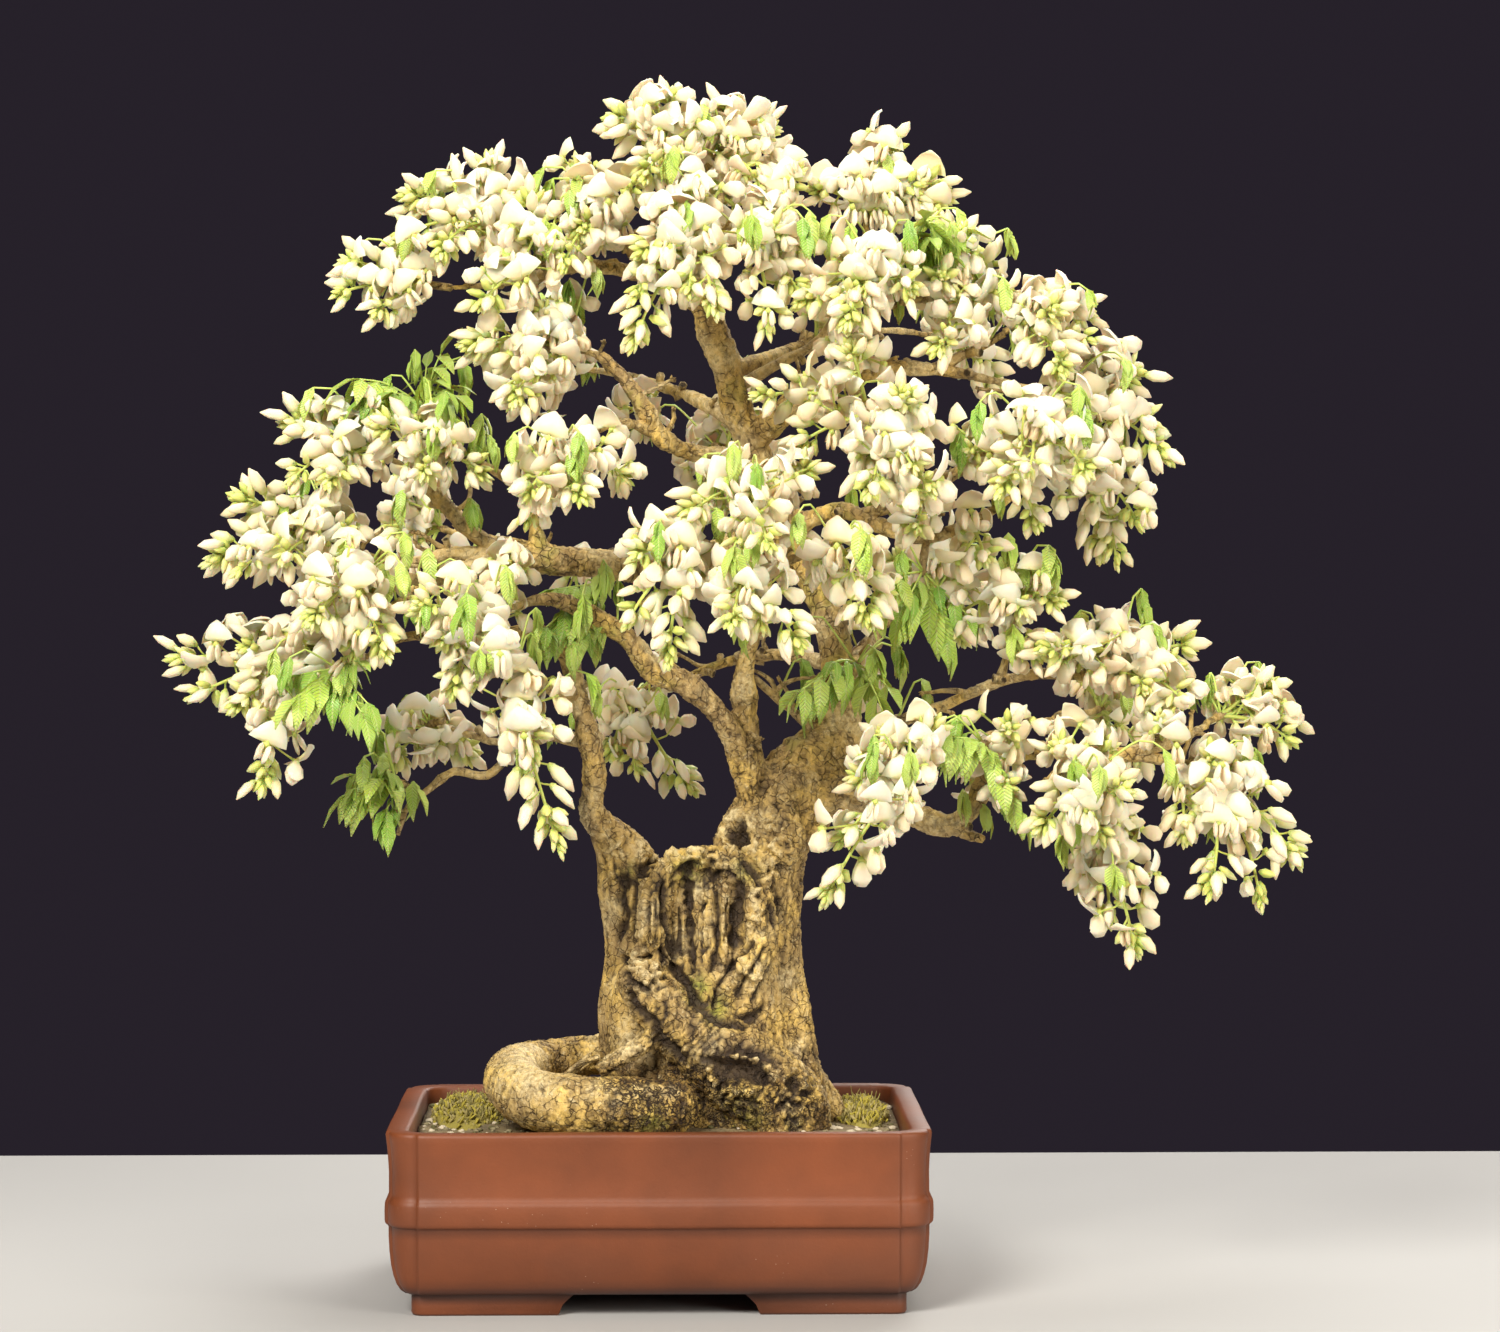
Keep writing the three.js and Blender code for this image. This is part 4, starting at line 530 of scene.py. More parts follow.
class Finish:
    """A material made of nodes."""

    def __init__(self, name, **constants):
        self.material = bpy.data.materials.new(name)
        self.material.use_nodes = True
        self.tree = self.material.node_tree
        self.tree.nodes.clear()
        inputs = {key.replace("_", " "): value for key, value in constants.items()}
        surface = self.node("ShaderNodeBsdfPrincipled", {}, inputs)
        self.shader = surface.socket.node
        self.node("ShaderNodeOutputMaterial", {}, {"Surface": surface}, None)
        self.place = self.node("ShaderNodeTexCoord", output="Object")
        tint = self.node("ShaderNodeAttribute", {"attribute_name": "tint"}, output="Color")
        self.tints = [self.node("ShaderNodeSeparateColor", {}, {"Color": tint}, output=i) for i in range(3)]

    def node(self, kind, settings=None, inputs=None, output=0):
        made = self.tree.nodes.new(kind)
        for key, value in (settings or {}).items():
            setattr(made, key, value)
        for key, value in (inputs or {}).items():
            if isinstance(value, Value):
                self.tree.links.new(value.socket, made.inputs[key])
            else:
                made.inputs[key].default_value = value
        return None if output is None else Value(self, made.outputs[output])

    def mix(self, factor, a, b):
        colours = {6: a if isinstance(a, Value) else (*a, 1), 7: b if isinstance(b, Value) else (*b, 1)}
        return self.node("ShaderNodeMix", {"data_type": "RGBA"}, {0: factor, **colours}, 2)

    def stretched(self, x, y, z):
        return self.node("ShaderNodeMapping", {}, {"Vector": self.place, "Scale": (x, y, z)})

    def warped(self, scale, amount):
        """The place, drawn aside in every direction by a noise."""
        inputs = {"Vector": self.place, "Scale": scale, "Detail": 3.0}
        aside = self.node("ShaderNodeTexNoise", {}, inputs, "Color")
        inputs = {0: aside, 1: (amount,) * 3, 2: self.place}
        return self.node("ShaderNodeVectorMath", {"operation": "MULTIPLY_ADD"}, inputs)

    def noise(self, scale, detail=4.0, rough=0.55, vector=None):
        inputs = {"Vector": vector or self.place, "Scale": scale, "Detail": detail, "Roughness": rough}
        return self.node("ShaderNodeTexNoise", {}, inputs, "Fac")

    def cells(self, scale, feature="F1", vector=None):
        inputs = {"Vector": vector or self.place, "Scale": scale}
        return self.node("ShaderNodeTexVoronoi", {"feature": feature}, inputs, "Distance")

    def bump(self, height, strength, distance):
        inputs = {"Height": height, "Strength": strength, "Distance": distance}
        self.wear(Normal=self.node("ShaderNodeBump", {}, inputs))

    def wear(self, **links):
        for key, value in links.items():
            self.tree.links.new(value.socket, self.shader.inputs[key.replace("_", " ")])


def clay_finish():
    """tint: how shaded a point is, in a corner or under an edge."""
    clay = Finish("unglazed_clay", Roughness=0.55, Coat_Weight=0.05, Coat_Roughness=0.45)
    cloud = clay.noise(9, 5)
    colour = clay.mix(cloud.ramp(0.35, 0.68), (0.128, 0.0320, 0.0080), (0.222, 0.0545, 0.0130))
    smoked = clay.noise(3.2, 3, vector=clay.stretched(1, 1, 2.4)).ramp(0.52, 0.74)
    colour = clay.mix(smoked * 0.6, colour, (0.085, 0.036, 0.022))
    lime = clay.cells(260).ramp(0.10, 0.03) * clay.noise(22, 2).ramp(0.6, 0.68)
    colour = clay.mix(lime * 0.7, colour, (0.62, 0.50, 0.40))
    colour = clay.mix(clay.tints[0], colour, (0.045, 0.018, 0.012))
    clay.wear(Base_Color=colour, Roughness=cloud * 0.2 + 0.44)
    clay.bump(clay.noise(420, 3) * 0.5 + clay.noise(45, 4) * 1.2, 0.35, 0.0008)
    return clay.material


def bark_finish():
    """tint: how deep a point lies in a crack or hollow, which is darkened there as painted shade, how mossy
    it is, how pale, and how smooth its skin is.
    """
    bark = Finish("bark", Roughness=0.8)
    crack, moss, pale = bark.tints
    smooth = bark.node("ShaderNodeAttribute", {"attribute_name": "tint"}, output="Alpha")
    drift = bark.noise(30, 6, 0.62)
    grain = bark.noise(150, 5, 0.6, bark.stretched(1, 1, 0.45))
    fleck = bark.noise(300, 4, 0.68)
    check = bark.cells(150, "DISTANCE_TO_EDGE", bark.warped(90, 0.012)).ramp(0.07, 0.0)
    check = check * grain.ramp(0.62, 0.44) * (1 - pale)
    broken = bark.noise(75, 3).ramp(0.40, 0.52)
    plate = bark.cells(165, "DISTANCE_TO_EDGE", bark.warped(110, 0.022)).ramp(0.12, 0.02)
    plate = plate * broken * (1 - smooth)
    colour = bark.mix(drift.ramp(0.36, 0.62), (0.26, 0.138, 0.028), (0.86, 0.58, 0.15))
    colour = bark.mix(smooth * drift.ramp(0.62, 0.36) * 0.5, colour, (0.76, 0.56, 0.25))
    colour = bark.mix(grain.ramp(0.60, 0.38) * (0.85 - smooth * 0.25), colour, (0.080, 0.036, 0.009))
    colour = bark.mix(pale * fleck.ramp(0.32, 0.58), colour, (0.86, 0.70, 0.38))
    colour = bark.mix(fleck.ramp(0.56, 0.68) * 0.5, colour, (0.92, 0.76, 0.42))
    speck = bark.noise(190, 5, 0.7).ramp(0.45, 0.38) * (0.85 - smooth * 0.45)
    colour = bark.mix(speck, colour, (0.045, 0.021, 0.006))
    colour = bark.mix(moss * bark.noise(110, 5).ramp(0.36, 0.54), colour, (0.36, 0.37, 0.05))
    colour = bark.mix(check * 0.75, colour, (0.075, 0.034, 0.010))
    colour = bark.mix(plate, colour, (0.045, 0.020, 0.007))
    # Painted shade: deep in the cracks and in the hollow the bark is drawn nearly black.
    colour = bark.mix(crack, colour, (0.026, 0.012, 0.005))
    bark.wear(Base_Color=colour, Roughness=grain * 0.25 + 0.58)
    bark.bump(grain * 1.2 + fleck * 0.8 - check * 0.9 - plate * 1.4, 1.0, 0.0016)
    return bark.material


def blossom_finish():
    """tint: how green a point is, how peach, partly as painted shade where the petals meet at their feet, and
    how creamy its flower is.
    """
    petal = Finish("petal", Roughness=0.55, Subsurface_Weight=0.3, Subsurface_Scale=0.004, Sheen_Weight=0.1)
    green, peach_and_shade, cream = petal.tints
    soft = petal.noise(120, 3)
    colour = petal.mix(soft.ramp(0.35, 0.7), (0.87, 0.80, 0.62), (0.89, 0.845, 0.72))
    colour = petal.mix(cream * 0.8, colour, (0.88, 0.72, 0.46))
    # Peach: partly a painted shade at the petals' feet, where they meet in the cup, and partly the petals'
    # own tint at the buds' tips.
    colour = petal.mix(peach_and_shade * 0.8, colour, (0.84, 0.64, 0.36))
    colour = petal.mix(green.ramp(0.0, 0.55), colour, (0.70, 0.73, 0.20))
    colour = petal.mix(green.ramp(0.5, 1.0), colour, (0.33, 0.46, 0.06))
    petal.wear(Base_Color=colour)
    petal.bump(petal.noise(500, 3, 0.5, petal.stretched(1, 1, 0.4)), 0.25, 0.0006)
    return petal.material


def leaf_finish():
    """tint: how far a point is from the midrib, its place along the leaflet, and how dark the leaflet is."""
    leaf = Finish("young_leaf", Roughness=0.42, Subsurface_Weight=0.15, Subsurface_Scale=0.003)
    across, along, shade = leaf.tints
    veins = ((along * 62) - (across * 14)).sine().ramp(0.2, 1.0)
    rib = across.ramp(0.16, 0.0)
    colour = leaf.mix(leaf.noise(45, 4).ramp(0.3, 0.7), (0.48, 0.66, 0.065), (0.70, 0.82, 0.20))
    colour = leaf.mix(shade, colour, (0.19, 0.44, 0.03))
    colour = leaf.mix(veins * 0.5, colour, (0.66, 0.74, 0.30))
    colour = leaf.mix(rib * 0.8, colour, (0.62, 0.70, 0.26))
    leaf.wear(Base_Color=colour)
    leaf.bump(veins * -1.0 + leaf.noise(300, 3) * 0.3, 0.8, 0.0012)
    return leaf.material


def soil_finish():
    """tint: how pale a grain is, how green, and its shade."""
    soil = Finish("gritty_soil", Roughness=0.9)
    pale, green, shade = soil.tints
    speck = soil.cells(330).ramp(0.0, 0.6)
    colour = soil.mix(soil.noise(70, 5).ramp(0.35, 0.65), (0.07, 0.045, 0.022), (0.24, 0.17, 0.075))
    colour = soil.mix(speck * 0.4, colour, (0.30, 0.24, 0.13))
    colour = soil.mix(pale, colour, (0.66, 0.57, 0.42))
    colour = soil.mix(green, colour, (0.40, 0.33, 0.045))
    colour = soil.mix(shade, colour, (0.10, 0.095, 0.03))
    soil.wear(Base_Color=colour)
    soil.bump(soil.noise(500, 4) + speck, 0.6, 0.001)
    return soil.material


def screen_finish():
    net = Finish("black_net", Roughness=0.6)
    net.wear(Base_Color=net.mix(net.noise(200, 3), (0.012, 0.012, 0.012), (0.035, 0.034, 0.032)))
    net.bump(net.noise(700, 2), 0.3, 0.0003)
    return net.material


def stage_finish(name, colour, rough):
    cloth = Finish(name, Roughness=rough)
    cloth.wear(Base_Color=cloth.mix(cloth.noise(3, 3), [c * 0.97 for c in colour], colour))
    return cloth.material


CLAY, BARK, PETAL, LEAF, SOIL = clay_finish(), bark_finish(), blossom_finish(), leaf_finish(), soil_finish()
SPRAY_FINISHES = [PETAL, LEAF, BARK]


def settle(piece, slot, *nodes):
    """Ends a piece: what it rides on, the solids that it stands for, and the slot of its finish, which is not
    used.
    """
    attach(piece, "root")
    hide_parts(*nodes)
    return piece


# ---------------------------------------------------------------- pot

# The pot's wall from its underside to its rim, with the band halfway: height, and how far in it stands.
WALL = [
    (14, 15.5), (14.4, 13.0), (16.4, 9.9), (20.5, 7.2), (26, 5.2), (33, 3.6), (42, 2.5), (52, 1.9),
    (58.6, 1.8), (59.6, 1.2), (60.2, 0.2), (61.2, -0.5), (63, -0.8), (69, -0.9), (74, -0.7), (76, -0.2),
    (77.2, 0.8), (78.6, 1.6), (81, 2.0), (95, 2.1), (108, 1.4), (116, 0.5), (119.5, 0.1), (121.2, 0.5),
    (POT_HEIGHT, 1.6),
]

# The pot's inside from its rim to its floor: height, how far in it stands, and its corners' step.
INSIDE = [
    (POT_HEIGHT, 12.5, 0.4), (121.4, 14.2, 0.2), (119.6, 15.1, 0), (112, 15.6, 0), (90, 15.8, 0),
    (60, 16.2, 0), (30, 20.5, 0), (24, 24, 0),
]

INSIDE_RADIUS = 24

# How shaded the wall is, by its rows: under the pot, at the band's foot, and inside.
SHADED_ROWS = {0: 0.9, 1: 0.9, 2: 0.6, 3: 0.2, 8: 0.5, 9: 0.35}
SHADED_INSIDE = 0.5

# A corner foot: how far it stands in from the pot's sides, its lengths along them, its thickness and
# its corner's radius, then its rows: height, how far it flares, how far its edge is trimmed, its shade.
FOOT_IN_X, FOOT_IN_Y, FOOT_LENGTH_X, FOOT_LENGTH_Y, FOOT_THICKNESS, FOOT_ROUND = 17, 16, 98, 74, 19, 7
FOOT_ROWS = [
    (0, 0, 1.6, 0.3), (0.8, 0, 0.5, 0.1), (2, 0, 0, 0), (7, 2, 0, 0.15), (11, 6, 0, 0.7), (14, 9.5, 0, 0.9),
    (18, 12, 0, 0.9),
]


def outline(inset, z, step=2.5, radius=19.0):
    """A rectangle whose rounded corners stand back from its faces by step, at one height."""
    hx, hy, r = POT_HALF_X - inset, POT_HALF_Y - inset, max(radius - inset, 3)
    turn = np.linspace(0, math.pi / 2, 9)
    corner = np.stack([hx - step - r + r * np.cos(turn), hy - step - r + r * np.sin(turn)], -1)
    side = np.linspace(0, hy - step - r - 2.6, 10)[:, None] * (0, 1) + (hx, 0)
    front = np.linspace(hx - step - r - 2.6, 0, 14)[:, None] * (1, 0) + (0, hy)
    ease_in = [(hx - step * 0.15, hy - step - r - 1.2), (hx - step * 0.8, hy - step - r - 0.4)]
    ease_out = [(hx - step - r - 0.4, hy - step * 0.8), (hx - step - r - 1.2, hy - step * 0.15)]
    quarter = np.vstack([side, ease_in, corner, ease_out, front])
    half = np.vstack([quarter, (quarter[:-1] * (-1, 1))[::-1]])
    around = np.vstack([half, (half[1:-1] * (1, -1))[::-1]])
    return np.column_stack([around[:, 0] + POT_X, around[:, 1], np.full(len(around), z)])


def foot(batch, sx, sy):
    """A corner foot that runs a way along both walls, flared where it meets the pot's underside."""
    x1, y1 = POT_HALF_X - FOOT_IN_X, POT_HALF_Y - FOOT_IN_Y
    turn = np.linspace(0, math.pi / 2, 5)
    round_x, round_y = FOOT_ROUND * np.sin(turn), FOOT_ROUND * np.cos(turn)
    rings = []
    for z, flare, trim, _ in FOOT_ROWS:
        right, back = x1 - trim, y1 - trim
        corner = [(right - FOOT_ROUND + x, back - FOOT_ROUND + y) for x, y in zip(round_x, round_y)]
        inner_x, inner_y = x1 - FOOT_THICKNESS - flare + trim, y1 - FOOT_THICKNESS - flare + trim
        end_x, end_y = x1 - FOOT_LENGTH_X - flare + trim, y1 - FOOT_LENGTH_Y - flare + trim
        inner = [(inner_x, end_y), (inner_x, inner_y), (end_x, inner_y)]
        ring = [(POT_X + sx * x, sy * y, z) for x, y in [(end_x, back), *corner, (right, end_y), *inner]]
        rings.append(ring if sx * sy < 0 else ring[::-1])
    points, faces = skin(np.array(rings, float))
    tint = np.zeros((len(points), 4))
    tint[:-2, 0] = np.repeat([shade for *_, shade in FOOT_ROWS], len(rings[0]))
    batch.add(points, faces, tint)


def make_pot():
    """The pot's body. Its faces waver a little, as pressed clay does."""
    batch = Batch()
    rings = [outline(inset, z) for z, inset in WALL]
    rings += [outline(inset, z, step, INSIDE_RADIUS + inset * 0.4) for z, inset, step in INSIDE]
    rings = np.array(rings)
    for ring in rings:
        for p in ring:
            n = noise.noise_vector(Vector(p) * 0.013) * 0.7
            p += (n[0], n[1], n[2] * 0.4 * (p[2] > 30))
    points, faces = skin(rings)
    shade = np.zeros(len(rings))
    shade[list(SHADED_ROWS)] = list(SHADED_ROWS.values())
    shade[len(WALL) + 3:] = SHADED_INSIDE
    tint = np.zeros((len(points), 4))
    tint[:-2, 0] = np.repeat(shade, rings.shape[1])
    batch.add(points, faces, tint)
    for sx in (1, -1):
        for sy in (1, -1):
            foot(batch, sx, sy)
    return settle(batch.piece("pot_body", [CLAY]), "stoneware", "pot")


# ---------------------------------------------------------------- soil and moss

PEBBLES, MOSS_LEAVES, MOSS_TUFTS = 1050, 420, 26


def pebble(batch, rng, at, size, tint):
    """A small stone with five uneven sides."""
    path = np.array([[-0.8, 0, 0], [-0.35, 0, 0], [0.35, 0, 0], [0.8, 0, 0]]) * size
    wide = np.array([0.45, 0.95, 0.9, 0.4]) * size
    points, faces = skin(rings_along(path, wide, wide * 0.62, 5, (0, 1, 0)))
    turn = rng.uniform(0, 6.28)
    points[:, :2] = points[:, :2] @ [[math.cos(turn), math.sin(turn)], [-math.sin(turn), math.cos(turn)]]
    points += np.random.default_rng(rng.randrange(1 << 30)).normal(0, size * 0.09, points.shape)
    batch.add(points + at, faces, tint)


def soil_height(x, y):
    """The soil is mounded towards the trunk and uneven."""
    share = max(abs(x - POT_X) / (POT_HALF_X - 16), abs(y) / (POT_HALF_Y - 16))
    return 117 - 7 * min(share, 1) ** 2 + 2.2 * noise.noise(Vector((x * 0.045, y * 0.045, 3)))


def make_soil():
    """The soil with pebbles on it, but for the pot's rounded corners and under the trunk."""
    rng = random.Random(11)
    batch = Batch()
    sides = ((24.6, 23.6), (17, 40), (16.4, 100), (16.3, 108))
    rings = [outline(inset, z, 0, INSIDE_RADIUS) for inset, z in sides]
    for share in (1, 0.97, 0.93, 0.88, 0.8, 0.72, 0.64, 0.55, 0.45, 0.35, 0.25, 0.15, 0.05):
        ring = outline(16.4, 0, 0, INSIDE_RADIUS)
        ring[:, :2] = (ring[:, :2] - (POT_X, 0)) * share + (POT_X, 0)
        for p in ring:
            p[2] = soil_height(p[0], p[1]) + rng.uniform(-0.5, 0.5)
        rings.append(ring)
    batch.add(*skin(np.array(rings)), (0, 0, 0, 1))
    for _ in range(PEBBLES):
        x, y = POT_X + rng.uniform(-1, 1) * 162, rng.uniform(-1, 1) * 117
        if abs(x - POT_X) > 150 and abs(y) > 105 or (-82 < x < 52 and abs(y) < 45):
            continue
        kind = rng.random()
        tint = (0.9, 0, 0, 1) if kind < 0.34 else (0.3, 0.1, 0.3, 1) if kind < 0.7 else (0.0, 0.0, 0.8, 1)
        size = rng.uniform(1.2, 2.9) if kind > 0.08 else rng.uniform(2.8, 4.2)
        pebble(batch, rng, (x, y, soil_height(x, y) + size * 0.1), size, tint)
    return settle(batch.piece("soil_top", [SOIL]), "soil", "soil")


def make_moss(name, centre, reach, seed):
    """A cushion of moss with small fleshy leaves and tufts standing out of it."""
    rng = random.Random(seed)
    batch = Batch()
    centre, reach = np.array(centre, float), np.array(reach, float)
    turn = np.linspace(0, 2 * math.pi, 36, endpoint=False)
    rings = []
    for level in np.linspace(-0.95, 0.97, 12):
        spread = math.sqrt(1 - level * level)
        lump = 1 + 0.1 * np.sin(3 * turn + level * 2.5) + 0.07 * np.sin(5 * turn + level * 5)
        x, y = reach[0] * lump * spread * np.cos(turn), reach[1] * lump * spread * np.sin(turn)
        rings.append(centre + np.stack([x, y, np.full(len(turn), reach[2] * level)], -1))
    points, faces = skin(np.array(rings))
    for p in points:
        p[2] += 2.4 * noise.noise(Vector(p) * 0.09) + 1.2 * noise.noise(Vector(p) * 0.3)
    batch.add(points, faces, (0, 0.75, 0.2, 1))
    for _ in range(MOSS_LEAVES):
        a, r = rng.uniform(0, 6.283), math.sqrt(rng.random())
        level = math.sqrt(max(0, 1 - r * r * 0.96))
        at = centre + (reach[0] * r * math.cos(a), reach[1] * r * math.sin(a), reach[2] * level)
        if at[2] < 108:
            continue
        length = rng.uniform(2.5, 5.5)
        lean = unit(np.array([rng.gauss(0, 0.6), rng.gauss(0, 0.6), 1]))
        path = np.array([at + lean * length * s for s in (-0.2, 0.25, 0.8, 1.1)])
        wide = np.array([0.4, 1.7, 1.5, 0.3]) * rng.uniform(0.7, 1.25)
        kind = rng.random()
        tint = (0, 1, 0, 1) if kind < 0.5 else (0.35, 0.55, 0, 1) if kind < 0.8 else (0, 0.5, 0.5, 1)
        batch.add(*skin(rings_along(path, wide, wide * 0.5, 4)), tint)
    for _ in range(MOSS_TUFTS):
        a, r = rng.uniform(0, 6.283), rng.uniform(0.1, 0.75)
        at = centre + (reach[0] * r * math.cos(a), reach[1] * r * math.sin(a), reach[2] * 0.7)
        lean = unit(np.array([rng.gauss(0, 0.35), rng.gauss(0, 0.35), 1]))
        path = np.array([at + lean * rng.uniform(9, 15) * s + (0, 0, -2 * s * s) for s in (0, 0.3, 0.7, 1)])
        batch.tube(path, [0.5, 0.45, 0.4, 0.2], 4, (0.2, 0.6, 0.3, 1))
    return settle(batch.piece(name + "_cushion", [SOIL]), "moss", name)


# ---------------------------------------------------------------- wood


def trunk_column():
    """The trunk's own rings, with folds that run up it and an old hollow in its front."""
    rows = smooth_path([(z, left, right, depth) for z, left, right, depth in TRUNK_SECTIONS], 9)
    turn = np.linspace(0, 2 * math.pi, 72, endpoint=False)
    rings = []
    for z, left, right, depth in rows:
        fold = 1 + 0.045 * np.sin(5 * turn + 0.012 * z) + 0.035 * np.cos(9 * turn - 0.02 * z)
        front = bell(turn - 1.46 * math.pi, 0.42)
        reach = fold * (1 - 0.3 * front * math.exp(-(((z - 256) / 34) ** 4)))
        x = (left + right) / 2 + (right - left) / 2 * reach * np.cos(turn)
        rings.append(np.stack([x, depth * reach * np.sin(turn), np.full(len(turn), z)], -1))
    return np.array(rings)


# Marks on the trunk's front, drawn over x and z: half width, height (below 0 it is cut in), then the line.
MARKS = [
    (2.6, -8.0, [(-48, 281), (-47, 267), (-45, 254), (-42, 241), (-40, 229)]),
    (2.0, -6.0, [(-32, 281), (-31, 259), (-30, 241), (-29, 222)]),
    (1.8, -5.0, [(-11, 272), (-11, 254), (-12, 236), (-16, 222)]),
    (3.6, -5.0, [(2, 278), (1, 256), (-1, 241)]),
    (1.5, -4.5, [(12, 241), (-1, 225), (-11, 210), (-14, 196)]),
    (1.4, -4.0, [(20, 236), (10, 220), (2, 204)]),
    (1.3, -3.0, [(27, 226), (18, 212), (12, 200)]),
    (1.2, -2.8, [(-58, 276), (-59, 258), (-58, 243)]),
    (1.1, -2.6, [(-54, 268), (-53, 250), (-54, 240)]),
    (1.2, -2.8, [(-38, 264), (-37, 248), (-36, 232)]),
    (1.2, -2.6, [(-21, 266), (-22, 248), (-23, 228)]),
    (1.2, -2.6, [(-5, 270), (-5, 254), (-7, 240)]),
    (1.4, -3.0, [(-67, 282), (-68, 262), (-68, 240)]),
    (3.4, -6.5, [(-75, 282), (-77, 268)]),
    (2.4, -5.0, [(-77, 266), (-73, 256), (-78, 245), (-79, 240)]),
    (4.4, -6.5, [(-32, 291), (-31, 292)]),
    (2.6, -4.5, [(-62, 290), (-56, 293)]),
    (2.4, -4.5, [(-14, 285), (-8, 288), (-2, 285)]),
    (3.0, -5.0, [(9, 295), (15, 288), (17, 280)]),
    (4.0, -6.0, [(28, 264), (28, 257)]),
    (5.4, -10.5, [(3, 311), (3, 315)]),
    (3.2, -7.0, [(-71, 205), (-52, 179), (-32, 153), (-25, 136), (-25, 122)]),
    (2.6, -6.0, [(-49, 233), (-27, 205), (-12, 189), (6, 187), (19, 194)]),
    (8.5, -9.0, [(-9, 157), (3, 160), (13, 156)]),
    (3.4, -6.5, [(19, 154), (20, 153)]),
    (3.2, -6.5, [(40, 150), (41, 149)]),
    (2.4, -4.0, [(48, 140), (48, 139)]),
    (2.0, -4.0, [(30, 132), (36, 137), (44, 133)]),
    (2.2, -5.0, [(-75, 227), (-70, 216), (-61, 212)]),
    (1.7, -4.0, [(-65, 229), (-58, 231)]),
    (1.8, -4.0, [(-56, 221), (-53, 215)]),
    (5.0, 2.6, [(-63, 272), (-63, 244)]),
    (4.2, 2.0, [(-38, 272), (-36, 230)]),
    (4.0, 2.4, [(-21, 276), (-21, 232)]),
    (3.0, 2.2, [(-6, 270), (-7, 236)]),
    (5.5, 4.5, [(-78, 304), (-60, 300), (-45, 299), (-30, 298), (-18, 299)]),
    (4.6, 5.0, [(25, 318), (29, 302), (24, 287), (16, 272), (15, 257)]),
    (3.6, 4.0, [(-8, 313), (-4, 322), (4, 325), (12, 321), (15, 312), (11, 303), (3, 300), (-5, 304),
        (-8, 313)]),
    (3.0, 3.6, [(-20, 155), (-12, 164), (2, 167), (15, 164), (26, 155), (24, 147), (10, 143), (-10, 144),
        (-20, 155)]),
    (3.0, 2.6, [(33, 150), (38, 156), (46, 153), (47, 146)]),
    (8.0, 4.5, [(-66, 228), (-60, 219)]),
    (5.0, 2.6, [(4, 230), (16, 212)]),
]

# Mossy and pale spots on the trunk's front: x, z, how far they reach, and how strong they are.
GREENS = [
    (-31, 289, 9, 0.9), (-25, 210, 8, 1.0), (-13, 197, 8, 0.9), (-72, 287, 7, 0.5), (8, 290, 9, 0.5),
    (-24, 214, 6, 0.8), (-52, 120, 12, 0.7), (5, 126, 14, 0.5),
]
PALES = [
    (-25, 274, 7, 1.0), (-84, 262, 9, 0.7), (14, 220, 12, 0.9), (38, 214, 9, 0.8), (-60, 258, 9, 0.7),
    (-36, 246, 8, 0.5), (-20, 245, 7, 0.7), (-138, 160, 22, 0.9), (-72, 172, 9, 1.0),
]


# Lines over x and z: the burr's, the ridge's at the right of the hollow, and the looped root's front.
BURR_LINE = [(-62, 222), (-38, 186), (-4, 160), (30, 132)]
RIDGE_LINE = [(27, 316), (24, 287), (15, 256)]
LOOP_LINE = [(-30, 132), (-140, 138)]

# The size of a face in the skins of the trunk and the boughs, and the share of the faces that stays.
TRUNK_CELL, BOUGH_CELL = ((1.45, 1.9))
TRUNK_SHARE, BOUGH_SHARE = 0.48, 0.39


def off_line(x, z, line):
    """How far each x, z lies from a line of points."""
    best = np.full(len(x), 1e9)
    for (ax, az), (bx, bz) in zip(line, line[1:]):
        dx, dz = bx - ax, bz - az
        t = np.clip(((x - ax) * dx + (z - az) * dz) / (dx * dx + dz * dz), 0, 1)
        best = np.minimum(best, np.hypot(x - ax - t * dx, z - az - t * dz))
    return best


def weathered(points, long_ways, fold, crack, grain):
    """How far each point of a skin moves out: folds, seams between plates, and a fine grain.
    long_ways are the points in a space that is drawn out along the grain."""
    moved = np.empty(len(points))
    for i, (p, way) in enumerate(zip(points, long_ways)):
        p = Vector(p)
        near, next_near = noise.voronoi(p * 0.085 + noise.noise_vector(p * 0.06) * 0.8)[0][:2]
        seam = max(0.0, 1 - (next_near - near) / 0.16)
        lift = noise.noise(Vector(way))
        fissure = max(0.0, 0.13 - abs(noise.noise(Vector(way) * 2.3))) * 7
        fine = noise.fractal(p * 0.26, 0.9, 2.1, 3)
        moved[i] = fold * (lift - 5 * max(0.0, 0.12 - abs(lift)) - fissure) - crack * seam + grain * fine
    return moved


def shaded(high, deep, tall):
    """The tint of a worked skin: painted shade below deep, in its cracks and hollows, and pale over tall."""
    tint = np.ones((len(high), 4))
    # Painted shade: the further a point is cut in, the darker it is drawn.
    tint[:, 0] = np.clip((-high - deep * 0.25) / deep, 0, 0.95)
    tint[:, 1] = 0
    tint[:, 2] = np.clip(high / tall, 0, 0.9)
    return tint


# The limbs whose feet belong to the trunk's skin, and how many of their points do.
TRUNK_LIMBS = {"main_trunk": 5, "left_limb": 3, "left_rising_limb": 3, "upright_limb": 3, "right_low_limb": 3}


def trunk_skin():
    """The trunk's column, its lumps and its limbs' feet, melted into one skin."""
    batch = Batch()
    batch.add(*skin(trunk_column()))
    for rows in TRUNK_LUMPS.values():
        path = smooth_path(rows, 4)
        batch.tube(path[:, :3], path[:, 3], 20)
    for name, length in TRUNK_LIMBS.items():
        path = smooth_path(LIMBS[name][:length], 4)
        share = np.linspace(0, 1, len(path))
        batch.tube(path[:, :3], path[:, 3] * (1.02 - 0.45 * np.clip(share - 0.72, 0, 1) / 0.28), 20)
    return remeshed(batch, TRUNK_CELL, 4)


